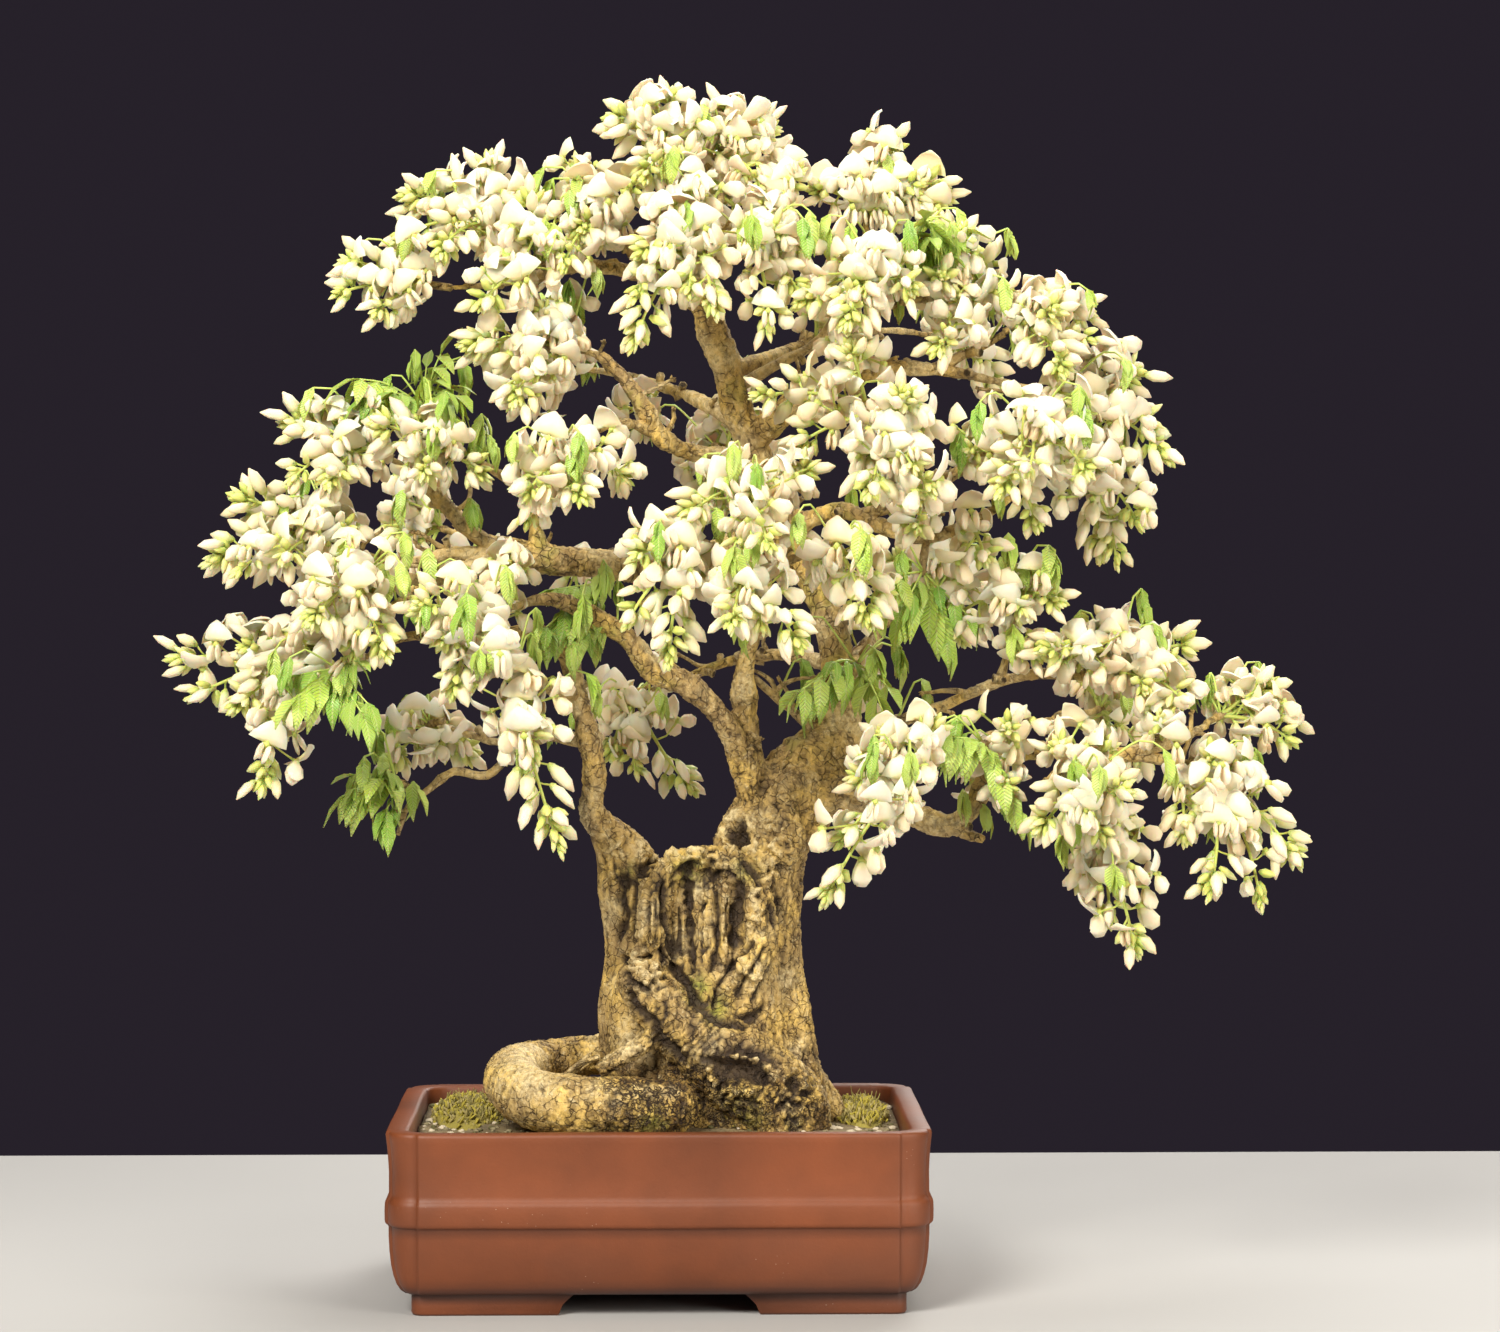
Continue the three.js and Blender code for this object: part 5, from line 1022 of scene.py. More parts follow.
def worked_front(points, front, loop, wander):
    """How far marks, furrows, splits and knobs move the trunk's front out or in."""
    x, _, z = points.T
    knob = np.array([noise.voronoi(Vector(p) * 0.15 + noise.noise_vector(Vector(p) * 0.11))[0][0]
                     for p in points])
    worked = np.zeros(len(points))
    for wide, high, line in MARKS:
        wobble = wide * (1 + 0.35 * np.sin(z * 0.37 + x * 0.11))
        share = high * bell(off_line(x, z, line), wobble) * front
        if high > 0:
            share = share * (1.5 - 1.6 * knob)
        worked = np.where(np.abs(share) > np.abs(worked), share, worked)
    on_burr = bell(off_line(x, z, BURR_LINE), 27, 6) * front * (z < 226)
    furrow = bell(np.sin((x * 0.76 - z * 0.65) * 0.55 + wander * 5), 0.55)
    worked -= on_burr * furrow * 1.9
    panel = front * bell(x + 26, 42, 6) * bell(z - 252, 32, 6)
    split = np.array([abs(noise.noise(Vector((a * 0.33, 5.0, c * 0.028)))) for a, c in zip(x, z)])
    worked -= panel * np.clip(0.16 - split, 0, 1) * 11
    lip = front * (z > 276) * (z < 312) * (x < 4)
    head = bell(np.hypot(x + 62, z - 222), 16, 4) * front
    ridge = bell(off_line(x, z, RIDGE_LINE), 9, 4) * front
    base = front * np.clip((178 - z) / 14, 0, 1) * 0.55
    worked += (lip + head + ridge + base) * (1.9 - 5.0 * knob)
    worked += loop * np.clip((x + 104) / 20, 0, 1) * (1.0 - 3.4 * knob) * 0.6
    return worked


def trunk_tint(points, high, front, loop, wander):
    """The trunk's tint. It is smooth but for the front of its foot and of the looped root."""
    x, y, z = points.T
    tint = shaded(high, 2.6, 3.2)
    rough = loop * np.clip((x + 100) / 20, 0, 1) + front * np.clip((160 - z) / 12, 0, 1) * 0.8
    tint[:, 3] = 1 - np.clip(rough, 0, 1)
    for column, spots in ((1, GREENS), (2, PALES)):
        for at_x, at_z, reach, share in spots:
            share = share * (y < 0) * np.exp(-((x - at_x) ** 2 + (z - at_z) ** 2) / reach**2)
            tint[:, column] = np.maximum(tint[:, column], share)
    tint[:, 1] = np.maximum(tint[:, 1], 0.45 * np.clip((130 - z) / 25, 0, 1) * (wander > 0))
    tint[:, 2] = np.maximum(tint[:, 2], 0.5 * np.clip(wander * 3 - 0.4, 0, 1))
    return tint


def make_trunk():
    points, faces, normals = trunk_skin()
    x, y, z = points.T
    wander = noise_at(points, 0.045)
    loop = (y < -48) & (x < -22) & (z < 160) & (off_line(x, z, LOOP_LINE) < 26) | (x < -96)
    front = np.clip((-normals[:, 1] - 0.05) / 0.4, 0, 1) * (y < -8) * (z < 332) * ~loop
    calm = np.clip(1 - bell(x + 86, 13, 4) * (z > 175) - 0.3 * (loop & (x < -92)), 0.25, 1)
    grown = weathered(points, points * (0.075, 0.075, 0.017), 1.5, 1.2, 0.85) * calm
    high = grown + worked_front(points, front, loop, wander)
    tint = trunk_tint(points, high, front, loop, wander)
    made = Batch().add(points + normals * high[:, None], faces, tint)
    return settle(thinned(made.piece("trunk", [BARK]), TRUNK_SHARE), "bark", "wood")


def limb_lines():
    """Every limb's middle line: x, y, z, radius, and how far along the limb each point is.
    Each limb starts far beyond the last one's end, so that no two have the same grain."""
    step, apart = 3.0, 900
    rows = []
    for k, limb in enumerate(LIMBS.values()):
        line = smooth_path(limb, step)
        rows.append(np.column_stack([line, step * np.arange(len(line)) + apart * k]))
    return np.vstack(rows)


LINES = limb_lines()


def near_wood(spot):
    """The row of the nearest point of any limb's middle line."""
    return LINES[np.argmin(((LINES[:, :3] - spot) ** 2).sum(1))]


def is_thick(rows):
    return max(r for *_, r in rows) >= 5.9


def make_boughs():
    """The thick limbs as one skin. Their feet are thinned, to lie within the trunk's skin."""
    batch = Batch()
    step = 3.5
    for name, rows in LIMBS.items():
        if not is_thick(rows):
            continue
        path = smooth_path(rows, step)
        radii = np.maximum(path[:, 3], 2.4)
        swell = noise_at(path[:, :3], 0.06) + 0.7 * noise_at(path[:, :3], 0.17)
        if name in TRUNK_LIMBS:
            foot_length = step * (len(smooth_path(rows[:TRUNK_LIMBS[name]], step)) - 1)
            share = step * np.arange(len(path)) / foot_length
            radii = radii * (0.6 + 0.4 * np.clip((share - 0.4) / 0.35, 0, 1))
        batch.tube(path[:, :3], radii * (1.02 + 0.2 * swell), 14)
    points, faces, normals = remeshed(batch, BOUGH_CELL, 2)
    near = np.array([near_wood(p) for p in points])
    long_ways = (points - near[:, :3]) * 0.11 + near[:, 4:] * 0.019
    high = weathered(points, long_ways, 0.95, 0.8, 0.7) * np.clip(near[:, 3] / 9, 0.45, 1)
    patch = noise_at(points, 0.035)
    tint = shaded(high, 2.2, 2.2)
    tint[:, 1] = np.clip(patch * -2 - 0.5, 0, 0.35)
    tint[:, 2] = np.maximum(tint[:, 2], np.clip(patch * 2.4 + 0.1, 0, 0.7))
    made = Batch().add(points + normals * high[:, None], faces, tint)
    return settle(thinned(made.piece("boughs", [BARK]), BOUGH_SHARE), "bark", "wood")


SIDE_GROWTH_CHANCE, FINE_ROOTS = 0.32, 7


def twig(batch, rng, rows, sides):
    """A thin, knobbly twig."""
    path = smooth_path(rows, 4.6)
    jitter = np.array([noise.noise_vector(Vector(p[:3]) * 0.09) for p in path]) * 1.1
    share = np.linspace(0, 1, len(path))[:, None]
    knots = np.array([rng.random() < 0.16 for _ in path])
    knobs = 1 + 0.16 * noise_at(path[:, :3], 0.2) + 0.28 * knots
    pale = 0.35 + 0.3 * noise.noise(Vector(path[0][:3]) * 0.02)
    tint = np.array([(0.25 * rng.random(), 0, max(0, pale), 1) for _ in path])
    batch.tube(path[:, :3] + jitter * 4 * share * (1 - share), path[:, 3] * knobs, sides, tint)


def stub(batch, rng, at, away, length):
    """What is left of a pruned twig: short and thick, with a dark cut end."""
    radius = rng.uniform(2.0, 3.0)
    bend = unit(away + scatter(rng, 0.3))
    path = np.array([at, at + away * length * 0.6, at + away * length * 0.6 + bend * length * 0.4])
    path = np.vstack([path, path[-1] + bend * 0.4])
    tint = [(0.1, 0, 0.2, 1), (0.1, 0, 0.4, 1), (0.2, 0, 0.6, 1), (0.9, 0, 0.2, 1)]
    batch.tube(path, radius * np.array([1.3, 1.0, 1.12, 0.7]), 6, np.array(tint))


def side_growth(batch, rng, at, radius):
    """What grows at a point of a limb: a pruned stub, or a short twig with its bud scales."""
    away = unit(np.array([rng.gauss(0, 1), rng.gauss(0, 1), rng.gauss(0.35, 0.7)]))
    if rng.random() < 0.5:
        stub(batch, rng, at, away, radius + rng.uniform(2, 9))
        return
    length = rng.uniform(12, 34)
    bend = at + away * length * 0.5 + np.array([rng.gauss(0, 3), rng.gauss(0, 3), rng.gauss(2, 2)])
    end = at + away * length + (rng.gauss(0, 3), rng.gauss(0, 3), rng.uniform(0, 6))
    twig(batch, rng, [(*at, 2.1), (*bend, 1.6), (*end, 1.2)], 5)
    bud_scales(batch, rng, end, away, 1.9, 0)


def fine_root(batch, rng, k):
    """One of the fine roots that run from the trunk down through the looped root to the soil."""
    y = -64 + k * 11
    rows = [
        (-96 + rng.uniform(-4, 8), y, 165 - k, 1.6),
        (-108, y + 5, 158 - 2 * k, 1.5),
        (-128, y + rng.uniform(0, 14), 138 - k, 1.3),
        (-146 - rng.uniform(0, 14), y + rng.uniform(4, 22), 121, 1.0),
    ]
    twig(batch, rng, rows, 6)


def make_twigs():
    """The thin limbs, the twigs that carry the sprays and shoots, the limbs' side growth and fine roots."""
    rng = random.Random(5)
    batch = Batch()
    for rows in LIMBS.values():
        if not is_thick(rows):
            twig(batch, rng, rows, 6)
    for spot, direction, _ in [*SPRAYS.values(), *SHOOTS.values()]:
        spot, direction = np.array(spot, float), np.array(direction)
        x, y, z, r = near_wood(spot)[:4]
        reach = spot - direction * 8
        twig(batch, rng, [(x, y, z, min(r * 0.8, 2.8)), (*reach, 2.5), (*spot, 2.4)], 5)
    for rows in LIMBS.values():
        for p in smooth_path(rows, 6)[4:-1]:
            if p[3] <= 9 and p[2] >= 300 and rng.random() <= SIDE_GROWTH_CHANCE:
                side_growth(batch, rng, p[:3], p[3])
    for k in range(FINE_ROOTS):
        fine_root(batch, rng, k)
    return settle(batch.piece("twigs", [BARK]), "bark", "wood")


def bud_scales(batch, rng, at, direction, size, kind):
    """A knot of brown scales, as left by last year's buds."""
    for _ in range(4):
        lean = unit(direction + scatter(rng, 0.7))
        path = np.array([at + lean * size * s for s in (-0.3, 0.4, 1.2, 1.9)])
        wide = np.array([0.5, 0.9, 0.7, 0.15]) * size
        batch.add(*skin(rings_along(path, wide, wide * 0.6, 5)), (0.35 * rng.random(), 0, 0.1, 1), kind)


# ---------------------------------------------------------------- flowers


def petal(batch, path, wide, thick, sides, across, peach_and_shade, green=0.0, shape=None):
    """A closed petal: flat rings along a path, worked further by shape.
    peach_and_shade and green are its tints along the path; the first is a peach tone, partly painted shade."""
    rings = rings_along(path, np.array(wide), np.array(thick), sides, across)
    if shape:
        rings = shape(rings)
    points, faces = skin(rings)
    tint = np.ones((len(points), 4))
    for column, along in ((0, green), (1, peach_and_shade)):
        along = np.broadcast_to(along, len(path))
        tint[:, column] = [*np.repeat(along, sides), along[0], along[-1]]
    batch.add(points, faces, tint)


def flower_shape(lift, spread, size, lean):
    """An open flower: forward is +X and up is +Z. A broad pointed banner is folded back like a roof over
    two blunt wings that are held together below it, in a green cup."""
    batch = Batch()
    half = 12.8 * size
    s = np.linspace(0, 1, 6)
    angle = np.radians(44 + lift + 88 * s)
    path = np.cumsum(np.stack([np.cos(angle), 0 * s, np.sin(angle)], -1) * 3.6 * size, axis=0) + (-0.5, 0, 0)
    wide = half * np.array([0.30, 0.72, 1.0, 0.86, 0.55, 0.12])

    def folded(rings):
        off = rings[..., 1] / half
        rings[..., 0] -= size * (6.4 * off**2 - 1.5 * lean * off)
        rings[..., 2] -= size * (4.6 * off**2 + 2.0 * lean * off)
        rings[..., 0] -= 1.2 * size * np.exp(-((off / 0.2) ** 2)) * np.linspace(1, 0.4, len(rings))[:, None]
        return rings

    # The banner and wings turn peach towards their feet, partly as painted shade where they meet.
    peach_and_shade, green = [0.6, 0.35, 0.12, 0, 0, 0.1], [0.3, 0.08, 0, 0, 0, 0]
    petal(batch, path, wide, np.full(6, 0.8), 8, (0, 1, 0), peach_and_shade, green, folded)
    s = np.array([0.0, 0.34, 0.72, 1.0])
    for side in (1, -1):
        x, y = 1.5 + 10.5 * size * s - 2.0 * s * s, side * (1.7 + spread * s)
        path = np.stack([x, y, -0.8 - 12.0 * size * s**1.15], -1)
        wide = size * np.array([1.4, 4.8, 5.6, 2.8])
        petal(batch, path, wide, wide * (0.44, 0.4, 0.32, 0.3), 6, (1, 0.2 * side, 0.7),
              [0.5, 0.3, 0.26, 0.4], [0.3, 0.04, 0, 0])
    cup(batch, 2.8 * size, 4.6 * size)
    return batch.gathered()


def cup(batch, radius, length):
    """The green cup that holds a flower."""
    path = np.array([(-0.8, 0, 0), (length * 0.5, 0, 0), (length, 0, -0.2)])
    points, faces = skin(rings_along(path, radius * np.array([0.4, 1.0, 0.85]), None, 4, (0, 1, 0)))
    batch.add(points, faces, (0.68, 0.1, 0, 1))


def bud_shape(length, fat, hook, green):
    """A closed flower: a pointed spindle along +X, in its cup."""
    batch = Batch()
    s = np.array([0.0, 0.28, 0.68, 0.97])
    path = np.stack([1.2 + length * s, 0 * s, hook * s * s], -1)
    wide = fat * np.array([0.5, 1.0, 0.84, 0.12])
    petal(batch, path, wide, wide * 0.86, 6, (0, 1, 0), [0.2, 0.1, 0.16, 0.6],
          np.array([0.35, 0.10, 0, 0]) + green)
    cup(batch, fat * 0.58, 3.6)
    return batch.gathered()


def green_bud_shape(length, fat, green):
    """A small closed flower at the head's tip, still green."""
    batch = Batch()
    s = np.array([0.0, 0.3, 0.7, 0.98])
    wide = fat * np.array([0.45, 1.0, 0.8, 0.14])
    petal(batch, np.stack([length * s, 0 * s, 0 * s], -1), wide, wide * 0.9, 4, (0, 1, 0), 0.1,
          np.array([0.30, 0.12, 0.0, -0.1]) + green)
    return batch.gathered()


# A few of each shape. An open flower's banner is lifted and leans, and its wings are spread, more or less.
FLOWERS = [flower_shape(*row) for row in (
    (0, 0.8, 1.0, 0.3), (14, 2.4, 0.95, -0.5), (-14, 0.4, 1.04, -0.2), (-34, 0.2, 0.86, 0.5),
    (22, 3.2, 1.0, 0.1), (-24, 1.2, 0.94, -0.7), (6, 1.8, 0.98, 0.8))]
BUDS = [bud_shape(*row) for row in (
    (19.5, 4.7, -1.6, 0), (18.0, 5.2, 1.0, 0.04), (21.0, 4.5, -3.0, 0), (16.5, 5.1, 0.0, 0.1))]
GREEN_BUDS = [green_bud_shape(*row) for row in ((11, 2.9, 0.60), (10, 3.2, 0.48), (12, 2.8, 0.38))]
STALK_TINT = (0.72, 0.05, 0.1, 1)


class Stem:
    """A flower head's stem: its length, and places on it by their share of it."""

    def __init__(self, batch, spot, direction, tip):
        steps = 10
        self.path = stem_curve(spot, direction, tip, np.linspace(0, 1, steps))
        self.ahead = np.gradient(self.path, axis=0)
        self.length = np.linalg.norm(np.diff(self.path, axis=0), axis=1).sum()
        batch.tube(self.path, np.linspace(1.6, 0.9, steps), 5, STALK_TINT)

    def around(self, share, turn):
        """A place on the stem, the way along it, and the way out of it."""
        k = min(share, 1) * (len(self.path) - 1)
        along = unit(self.ahead[int(round(k))])
        first = unit(np.cross(along, (0.3, 0.2, 1)))
        out = math.cos(turn) * first + math.sin(turn) * np.cross(along, first)
        return point_at(self.path, k), along, out


def stem_curve(spot, direction, tip, shares):
    """A stem that leaves along its spur and then bends to its tip."""
    start = spot + direction * 4
    length = np.linalg.norm(tip - start)
    bend = start + (tip - start) * 0.45 + direction * length * 0.16 + UP * length * 0.1
    t = np.asarray(shares, float)[:, None]
    return (1 - t) ** 2 * start + 2 * t * (1 - t) * bend + t * t * tip


def axes_of(forward, up, size):
    """Forward, side and up of a shape that points forward with its back to up."""
    forward = unit(forward)
    side = unit(np.cross(up, forward))
    return np.array([forward, side, np.cross(forward, side)]) * size


def stalk(batch, start, start_way, end, end_way, radius):
    """A thin stalk that leaves one way and arrives another."""
    t = np.array([0, 0.4, 1])[:, None]
    length = np.linalg.norm(end - start)
    a, b = start + start_way * length * 0.4, end - end_way * length * 0.35
    path = (1 - t) ** 3 * start + 3 * t * (1 - t) ** 2 * a + 3 * t * t * (1 - t) * b + t**3 * end
    batch.tube(path, [radius, radius * 0.85, radius * 1.2], 3, STALK_TINT)


def open_flower(batch, rng, at, out, along, reach, scale):
    """One open flower on its own stalk."""
    jitter = scatter(rng, 0.25)
    foot = at + unit(out * 0.9 + along * 0.2 + UP * 0.15 + jitter * 0.5) * reach
    if not inside_reach(foot):
        return
    way = unit(out * 0.9 + along * 0.1 - UP * 0.1 + jitter)
    stalk(batch, at, unit(out * 0.5 + along * 0.6 + UP * 0.3), foot, way, 0.85)
    batch.place(rng.choice(FLOWERS), axes_of(way, unit(UP + jitter), scale), foot, rng.random() ** 2)


def closed_flower(batch, rng, at, out, along, fade, size):
    """One closed flower on its stalk. fade says how near the head's tip it is, where they are smaller."""
    jitter = scatter(rng, 0.16)
    scale = (1.14 - 0.3 * fade) * (0.76 + 0.26 * size) * rng.uniform(0.88, 1.1)
    way = unit(out * (0.95 - 0.4 * fade) + along * (0.5 + 0.5 * fade) - UP * 0.45 * (1 - fade) + jitter)
    foot = at + unit(out + along * 0.5) * rng.uniform(7, 13) * (1 - 0.35 * fade) * size
    stalk(batch, at, unit(out * 0.5 + along * 0.7), foot, way, 0.8)
    axes = axes_of(way, unit(out + UP * 0.2), scale)
    batch.place(rng.choice(BUDS), axes, foot, rng.random() * 0.6 + 0.25 * fade)


def green_tuft(batch, rng, stem, turn, count, size):
    """The green flowers at a head's tip. They are the smaller and the closer together the further on."""
    for i in range(count):
        fade = i / (count - 1)
        turn += GOLDEN_ANGLE
        at, along, out = stem.around(0.80 + 0.2 * fade, turn)
        way = unit(out * (1.0 - 0.85 * fade) + along * (0.45 + 0.8 * fade) + rng.gauss(0, 0.1))
        scale = (1.25 - 0.5 * fade) * (0.7 + 0.3 * size) * rng.uniform(0.85, 1.1)
        foot = at + out * 3.6 * (1 - fade)
        batch.place(rng.choice(GREEN_BUDS), axes_of(way, out, scale), foot, rng.random() * 0.5)


def raceme(batch, rng, spot, direction, tip, half_width, age, fullness=1.0):
    """One hanging flower head: open flowers near its foot, then closed ones, and a green tuft at its tip.
    The older it is, the more flowers are open, and the looser they hang."""
    stem = Stem(batch, spot, direction, tip)
    size = half_width / 22
    many = round(fullness * (0.97 - 0.26 * age) * (stem.length * 0.12 + half_width * 0.34))
    opened = many * (0.25 + 0.65 * age)
    first_share, last_share = 0.08, 0.84 + 0.12 * age
    turn = rng.uniform(0, 6.28)
    for i in range(many):
        share = first_share + (last_share - first_share) * i / max(many - 1, 1)
        turn += GOLDEN_ANGLE + rng.gauss(0, 0.3)
        at, along, out = stem.around(share, turn)
        if i < opened + rng.gauss(0, 0.8):
            scale = (0.72 + 0.27 * size) * rng.uniform(0.86, 1.12)
            reach = max(half_width - 8 * scale + rng.uniform(-7, 3), 7)
            open_flower(batch, rng, at, out, along, reach, scale)
        else:
            closed_flower(batch, rng, at, out, along, min(1, max(0, (share - 0.4) / 0.5)), size)
    green_tuft(batch, rng, stem, turn, 4 + round((12 - 7 * age) * size * fullness), size)
    for _ in range(2):
        at, along, _ = stem.around(rng.uniform(0.02, 0.45), 0)
        out = unit(np.array([rng.gauss(0, 1), rng.gauss(0, 1), rng.gauss(0.25, 0.7)]) + direction * 0.6)
        open_flower(batch, rng, at, out, along, half_width + rng.uniform(1, 12), rng.uniform(0.88, 1.05))


# ---------------------------------------------------------------- leaves


def leaflet_shape(droop, fold):
    """A pointed leaflet along +X, folded a little on its midrib.
    Its tint says where on the blade a point is."""
    batch = Batch()
    s = np.array([0.0, 0.26, 0.62, 0.97])
    path = np.stack([s * 26, 0 * s, -droop * s * s * 26], -1)
    wide = 6.0 * np.array([0.14, 0.94, 0.84, 0.06])
    rings = rings_along(path, wide, np.full(4, 0.32), 8, (0, 1, 0))
    off = rings[..., 1] / 5.6
    rings[..., 2] += fold * np.abs(off) * 5.6 + 0.5 * np.sin(s * 20)[:, None] * np.abs(off)
    points, faces = skin(rings)
    tint = np.ones((len(points), 4))
    tint[:-2, 0] = np.abs(off).ravel()
    tint[:-2, 1] = np.repeat(s, 8)
    batch.add(points, faces, tint, LEAF_KIND)
    return batch.gathered()


LEAF_STALK_TINT = (0.1, 0, 0.1, 1)
LEAFLETS = [leaflet_shape(*row) for row in ((0.35, 0.45), (0.55, 0.25), (0.2, 0.6), (0.7, 0.35))]


def frond(batch, rng, path_points, pairs, size, dark):
    """A feathered leaf: pairs of leaflets along a fine rib, and one more at its end."""
    path = smooth_path(path_points, 5)
    batch.tube(path, np.linspace(0.95, 0.55, len(path)), 5, (0.1, 0, 0.2, 1), LEAF_KIND)
    ahead = np.gradient(path, axis=0)
    for i in range(pairs):
        s = 0.3 + 0.66 * i / max(pairs - 1, 1)
        k = s * (len(path) - 1)
        at, along = point_at(path, k), unit(ahead[int(round(k))])
        side = unit(np.cross(along, UP + np.array([0.01, 0, 0])))
        grown = size * (0.8 + 0.25 * math.sin(math.pi * s)) * rng.uniform(0.88, 1.1)
        for turn in (1, -1):
            way = unit(side * turn * rng.uniform(0.55, 0.9) + along * 0.55 - UP * rng.uniform(0.35, 0.95))
            up = unit(UP + side * turn * 0.5)
            batch.place(rng.choice(LEAFLETS), axes_of(way, up, grown), at, dark * rng.uniform(0.6, 1.2))
    way = unit(ahead[-1] - UP * 0.4)
    batch.place(rng.choice(LEAFLETS), axes_of(way, UP, size), path[-1], dark)


def young_leaf(batch, rng, spot, direction, reach):
    """A young leaf on an arched stalk, its leaflets still folded and hanging close together."""
    away = unit(direction * 0.8 + np.array([rng.gauss(0, 0.7), rng.gauss(0, 0.7), rng.uniform(0.2, 0.9)]))
    bow = spot + away * reach * 0.7 + UP * reach * 0.28
    end = spot + away * reach + UP * reach * 0.1
    if not inside_reach(end):
        return
    path = smooth_path([spot, bow, end], 7)
    batch.tube(path, np.linspace(1.0, 0.7, len(path)), 4, LEAF_STALK_TINT, LEAF_KIND)
    hang = unit(away * 0.35 - UP)
    dark = rng.random() ** 2 * 0.8
    pairs = rng.choice((2, 3, 3, 4))
    size = rng.uniform(0.6, 0.85)
    side = unit(np.cross(hang, away))
    for i in range(pairs):
        at = end + hang * i * 4.5 * size
        for turn in (1, -1):
            way = unit(hang + side * turn * rng.uniform(0.15, 0.55) + away * rng.uniform(-0.15, 0.35))
            leaflet = rng.choice(LEAFLETS)
            axes = axes_of(way, unit(away + side * turn * 0.8), size * rng.uniform(0.8, 1.1))
            batch.place(leaflet, axes, at, dark)
    rib = np.array([end, end + hang * pairs * 4.5 * size])
    batch.tube(rib, [0.8, 0.6], 4, LEAF_STALK_TINT, LEAF_KIND)


# How full the heads between the main ones of a spray are, and the ones aside of it.
BETWEEN_FULLNESS, ASIDE_FULLNESS = 0.62, 0.85


def spur(batch, rng, spot, direction, radii, size, places):
    """The woody foot of a spray or a shoot, with knots of old bud scales at some places along it."""
    batch.tube(spot + np.outer([0.3, 4, 8.2], direction), radii, 8, (0.2, 0, 0.2, 1), BARK_KIND)
    for place in places:
        bud_scales(batch, rng, spot + direction * place, direction, size, BARK_KIND)


def make_spray(name, seed):
    """A flowering spur with its flower heads. An aside starts at the nearest limb if that is nearer."""
    rng = random.Random(seed)
    batch = Batch()
    spot, direction, tips = [np.array(row, float) for row in SPRAYS[name]]
    spur(batch, rng, spot, direction, [3.0, 2.7, 2.0], 2.0, (0.5, 3, 6))
    for tip in tips:
        raceme(batch, rng, spot, direction, tip[:3], tip[3], rng.random())
    for tip in (tips[1:] + tips[:-1]) / 2:
        aside = np.array([rng.gauss(0, 9), rng.gauss(0, 9), rng.uniform(-20, 6)])
        raceme(batch, rng, spot, direction, tip[:3] + aside, tip[3] * 0.75, rng.random(), BETWEEN_FULLNESS)
    for tip in np.array(ASIDES.get(name, []), float):
        start, way = near_wood(tip[:3])[:3], direction
        if np.linalg.norm(tip[:3] - start) < np.linalg.norm(tip[:3] - spot):
            way = unit(tip[:3] - start)
        else:
            start = spot
        raceme(batch, rng, start, way, tip[:3], tip[3], rng.random(), ASIDE_FULLNESS)
    for _ in range(rng.choice((3, 3, 4, 5))):
        young_leaf(batch, rng, spot + direction * 5, direction, rng.uniform(26, 60))
    return settle(batch.piece("spray_" + name, SPRAY_FINISHES, crisp=True), "blossom", "blossom_" + name)


def make_shoot(name, seed):
    """A leafy spur: feathered leaves to its tips, two smaller ones beside each, and young leaves around."""
    rng = random.Random(seed)
    batch = Batch()
    spot, direction, tips = [np.array(row, float) for row in SHOOTS[name]]
    spur(batch, rng, spot, direction, [3.0, 2.6, 1.8], 1.8, (5,))
    bends = (0, 0.3, 0.65, 1)
    for tip in tips:
        path = stem_curve(spot, direction, tip, bends)
        frond(batch, rng, path, rng.choice((4, 5)), rng.uniform(0.92, 1.12), rng.uniform(0.0, 0.6))
        for _ in range(2):
            aside = spot + (tip - spot) * rng.uniform(0.55, 0.9) + scatter(rng, 9)
            path = stem_curve(spot, direction, aside, bends)
            frond(batch, rng, path, rng.choice((3, 4)), rng.uniform(0.62, 0.85), rng.uniform(0.2, 0.9))
    for _ in range(3):
        young_leaf(batch, rng, spot + direction * 5, direction, rng.uniform(22, 46))
    beside = LINES[(np.linalg.norm(LINES[:, :3] - spot, axis=1) < 85) & (LINES[:, 3] < 9)]
    for k in rng.sample(range(len(beside)), min(5, len(beside))):
        young_leaf(batch, rng, beside[k, :3], np.array([0, -0.6, 0.3]), rng.uniform(20, 40))
    return settle(batch.piece("shoot_" + name, SPRAY_FINISHES, crisp=True), "leaf", name)


# ---------------------------------------------------------------- the object

make_pot()
make_soil()
make_moss("moss_left", (-182, 30, 109), (27, 62, 15), 3)
make_moss("moss_right", (88, 26, 109), (20, 56, 13), 4)
make_trunk()
make_boughs()
make_twigs()
for seed, name in enumerate(SPRAYS, 100):
    make_spray(name, seed)
for seed, name in enumerate(SHOOTS, 300):
    make_shoot(name, seed)
NET = screen_finish()
for name in ("screen_left", "screen_right"):
    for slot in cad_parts[name].material_slots:
        slot.material = NET

# ---------------------------------------------------------------- stage, light and camera

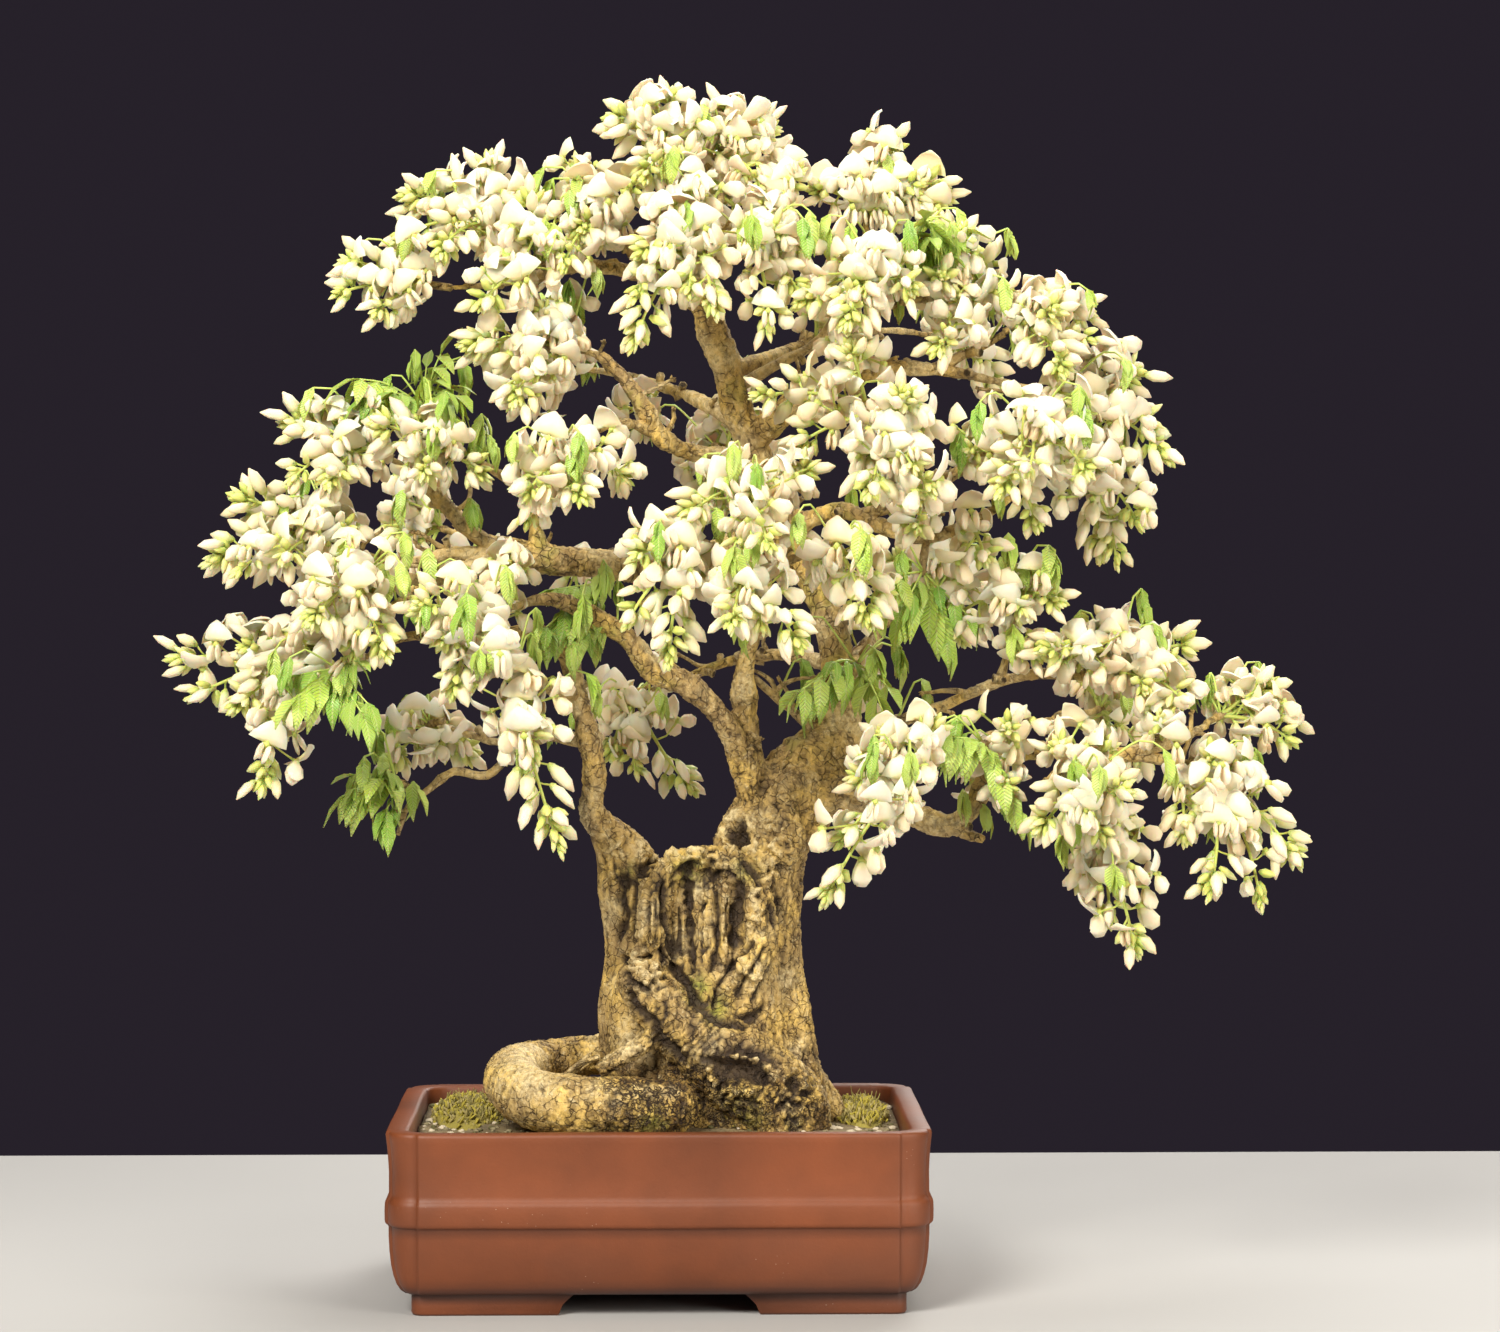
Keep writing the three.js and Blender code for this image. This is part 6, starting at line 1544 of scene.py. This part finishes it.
MIDDLE = (0, 0, 0.45)
CAMERA_PLACE, CAMERA_LENS, CAMERA_DOWN, CAMERA_RIGHT = (-0.051, -2.835, 0.490), 98.93, 1.28, 1.265


def make_floor():
    """A plain pale table top."""
    batch = Batch()
    edge = np.array([(-2400, -3200), (2400, -3200), (2400, 640), (-2400, 640)], float)
    rings = [np.column_stack([edge * share, np.full(4, z)]) for share, z in ((1, -40), (1, -1), (0.9996, 0))]
    batch.add(*skin(np.array(rings)))
    floor = batch.piece("floor", [stage_finish("pale_floor", (0.46, 0.455, 0.45), 0.8)], smooth=False)


def area_light(name, place, size, watts, colour):
    """A round soft light that faces the tree's middle."""
    lamp = bpy.data.lights.new(name, "AREA")
    lamp.shape, lamp.size, lamp.energy, lamp.color = "DISK", size, watts, colour
    made = bpy.data.objects.new(name, lamp)
    made.location = Vector(place) + Vector(HOME) * 0.001
    made.rotation_euler = (Vector(MIDDLE) - Vector(place)).to_track_quat("-Z", "Y").to_euler()
    bpy.context.scene.collection.objects.link(made)


make_floor()
area_light("key", (-1.3, -2.4, 2.3), 1.4, 146, (1.0, 0.955, 0.87))
area_light("fill", (2.0, -2.0, 1.2), 1.8, 62, (1.0, 0.94, 0.83))
area_light("top", (0.1, 0.3, 2.6), 1.5, 40, (1.0, 0.98, 0.94))
area_light("back", (0.9, 2.2, 1.5), 1.6, 38, (1.0, 0.95, 0.88))

world = bpy.data.worlds.new("studio")
world.use_nodes = True
world.node_tree.nodes["Background"].inputs["Color"].default_value = (0.020, 0.0155, 0.023, 1)
world.node_tree.nodes["Background"].inputs["Strength"].default_value = 1.0
bpy.context.scene.world = world

# The camera stands 2.8 m in front of the tree, turned a little to the right and down.
camera = bpy.data.cameras.new("camera")
camera.lens, camera.sensor_width, camera.sensor_fit = CAMERA_LENS, 36, "HORIZONTAL"
viewer = bpy.data.objects.new("camera", camera)
viewer.location = Vector(CAMERA_PLACE) + Vector(HOME) * 0.001
viewer.rotation_euler = (math.radians(90 - CAMERA_DOWN), 0, -math.radians(CAMERA_RIGHT))
bpy.context.scene.collection.objects.link(viewer)
bpy.context.scene.camera = viewer
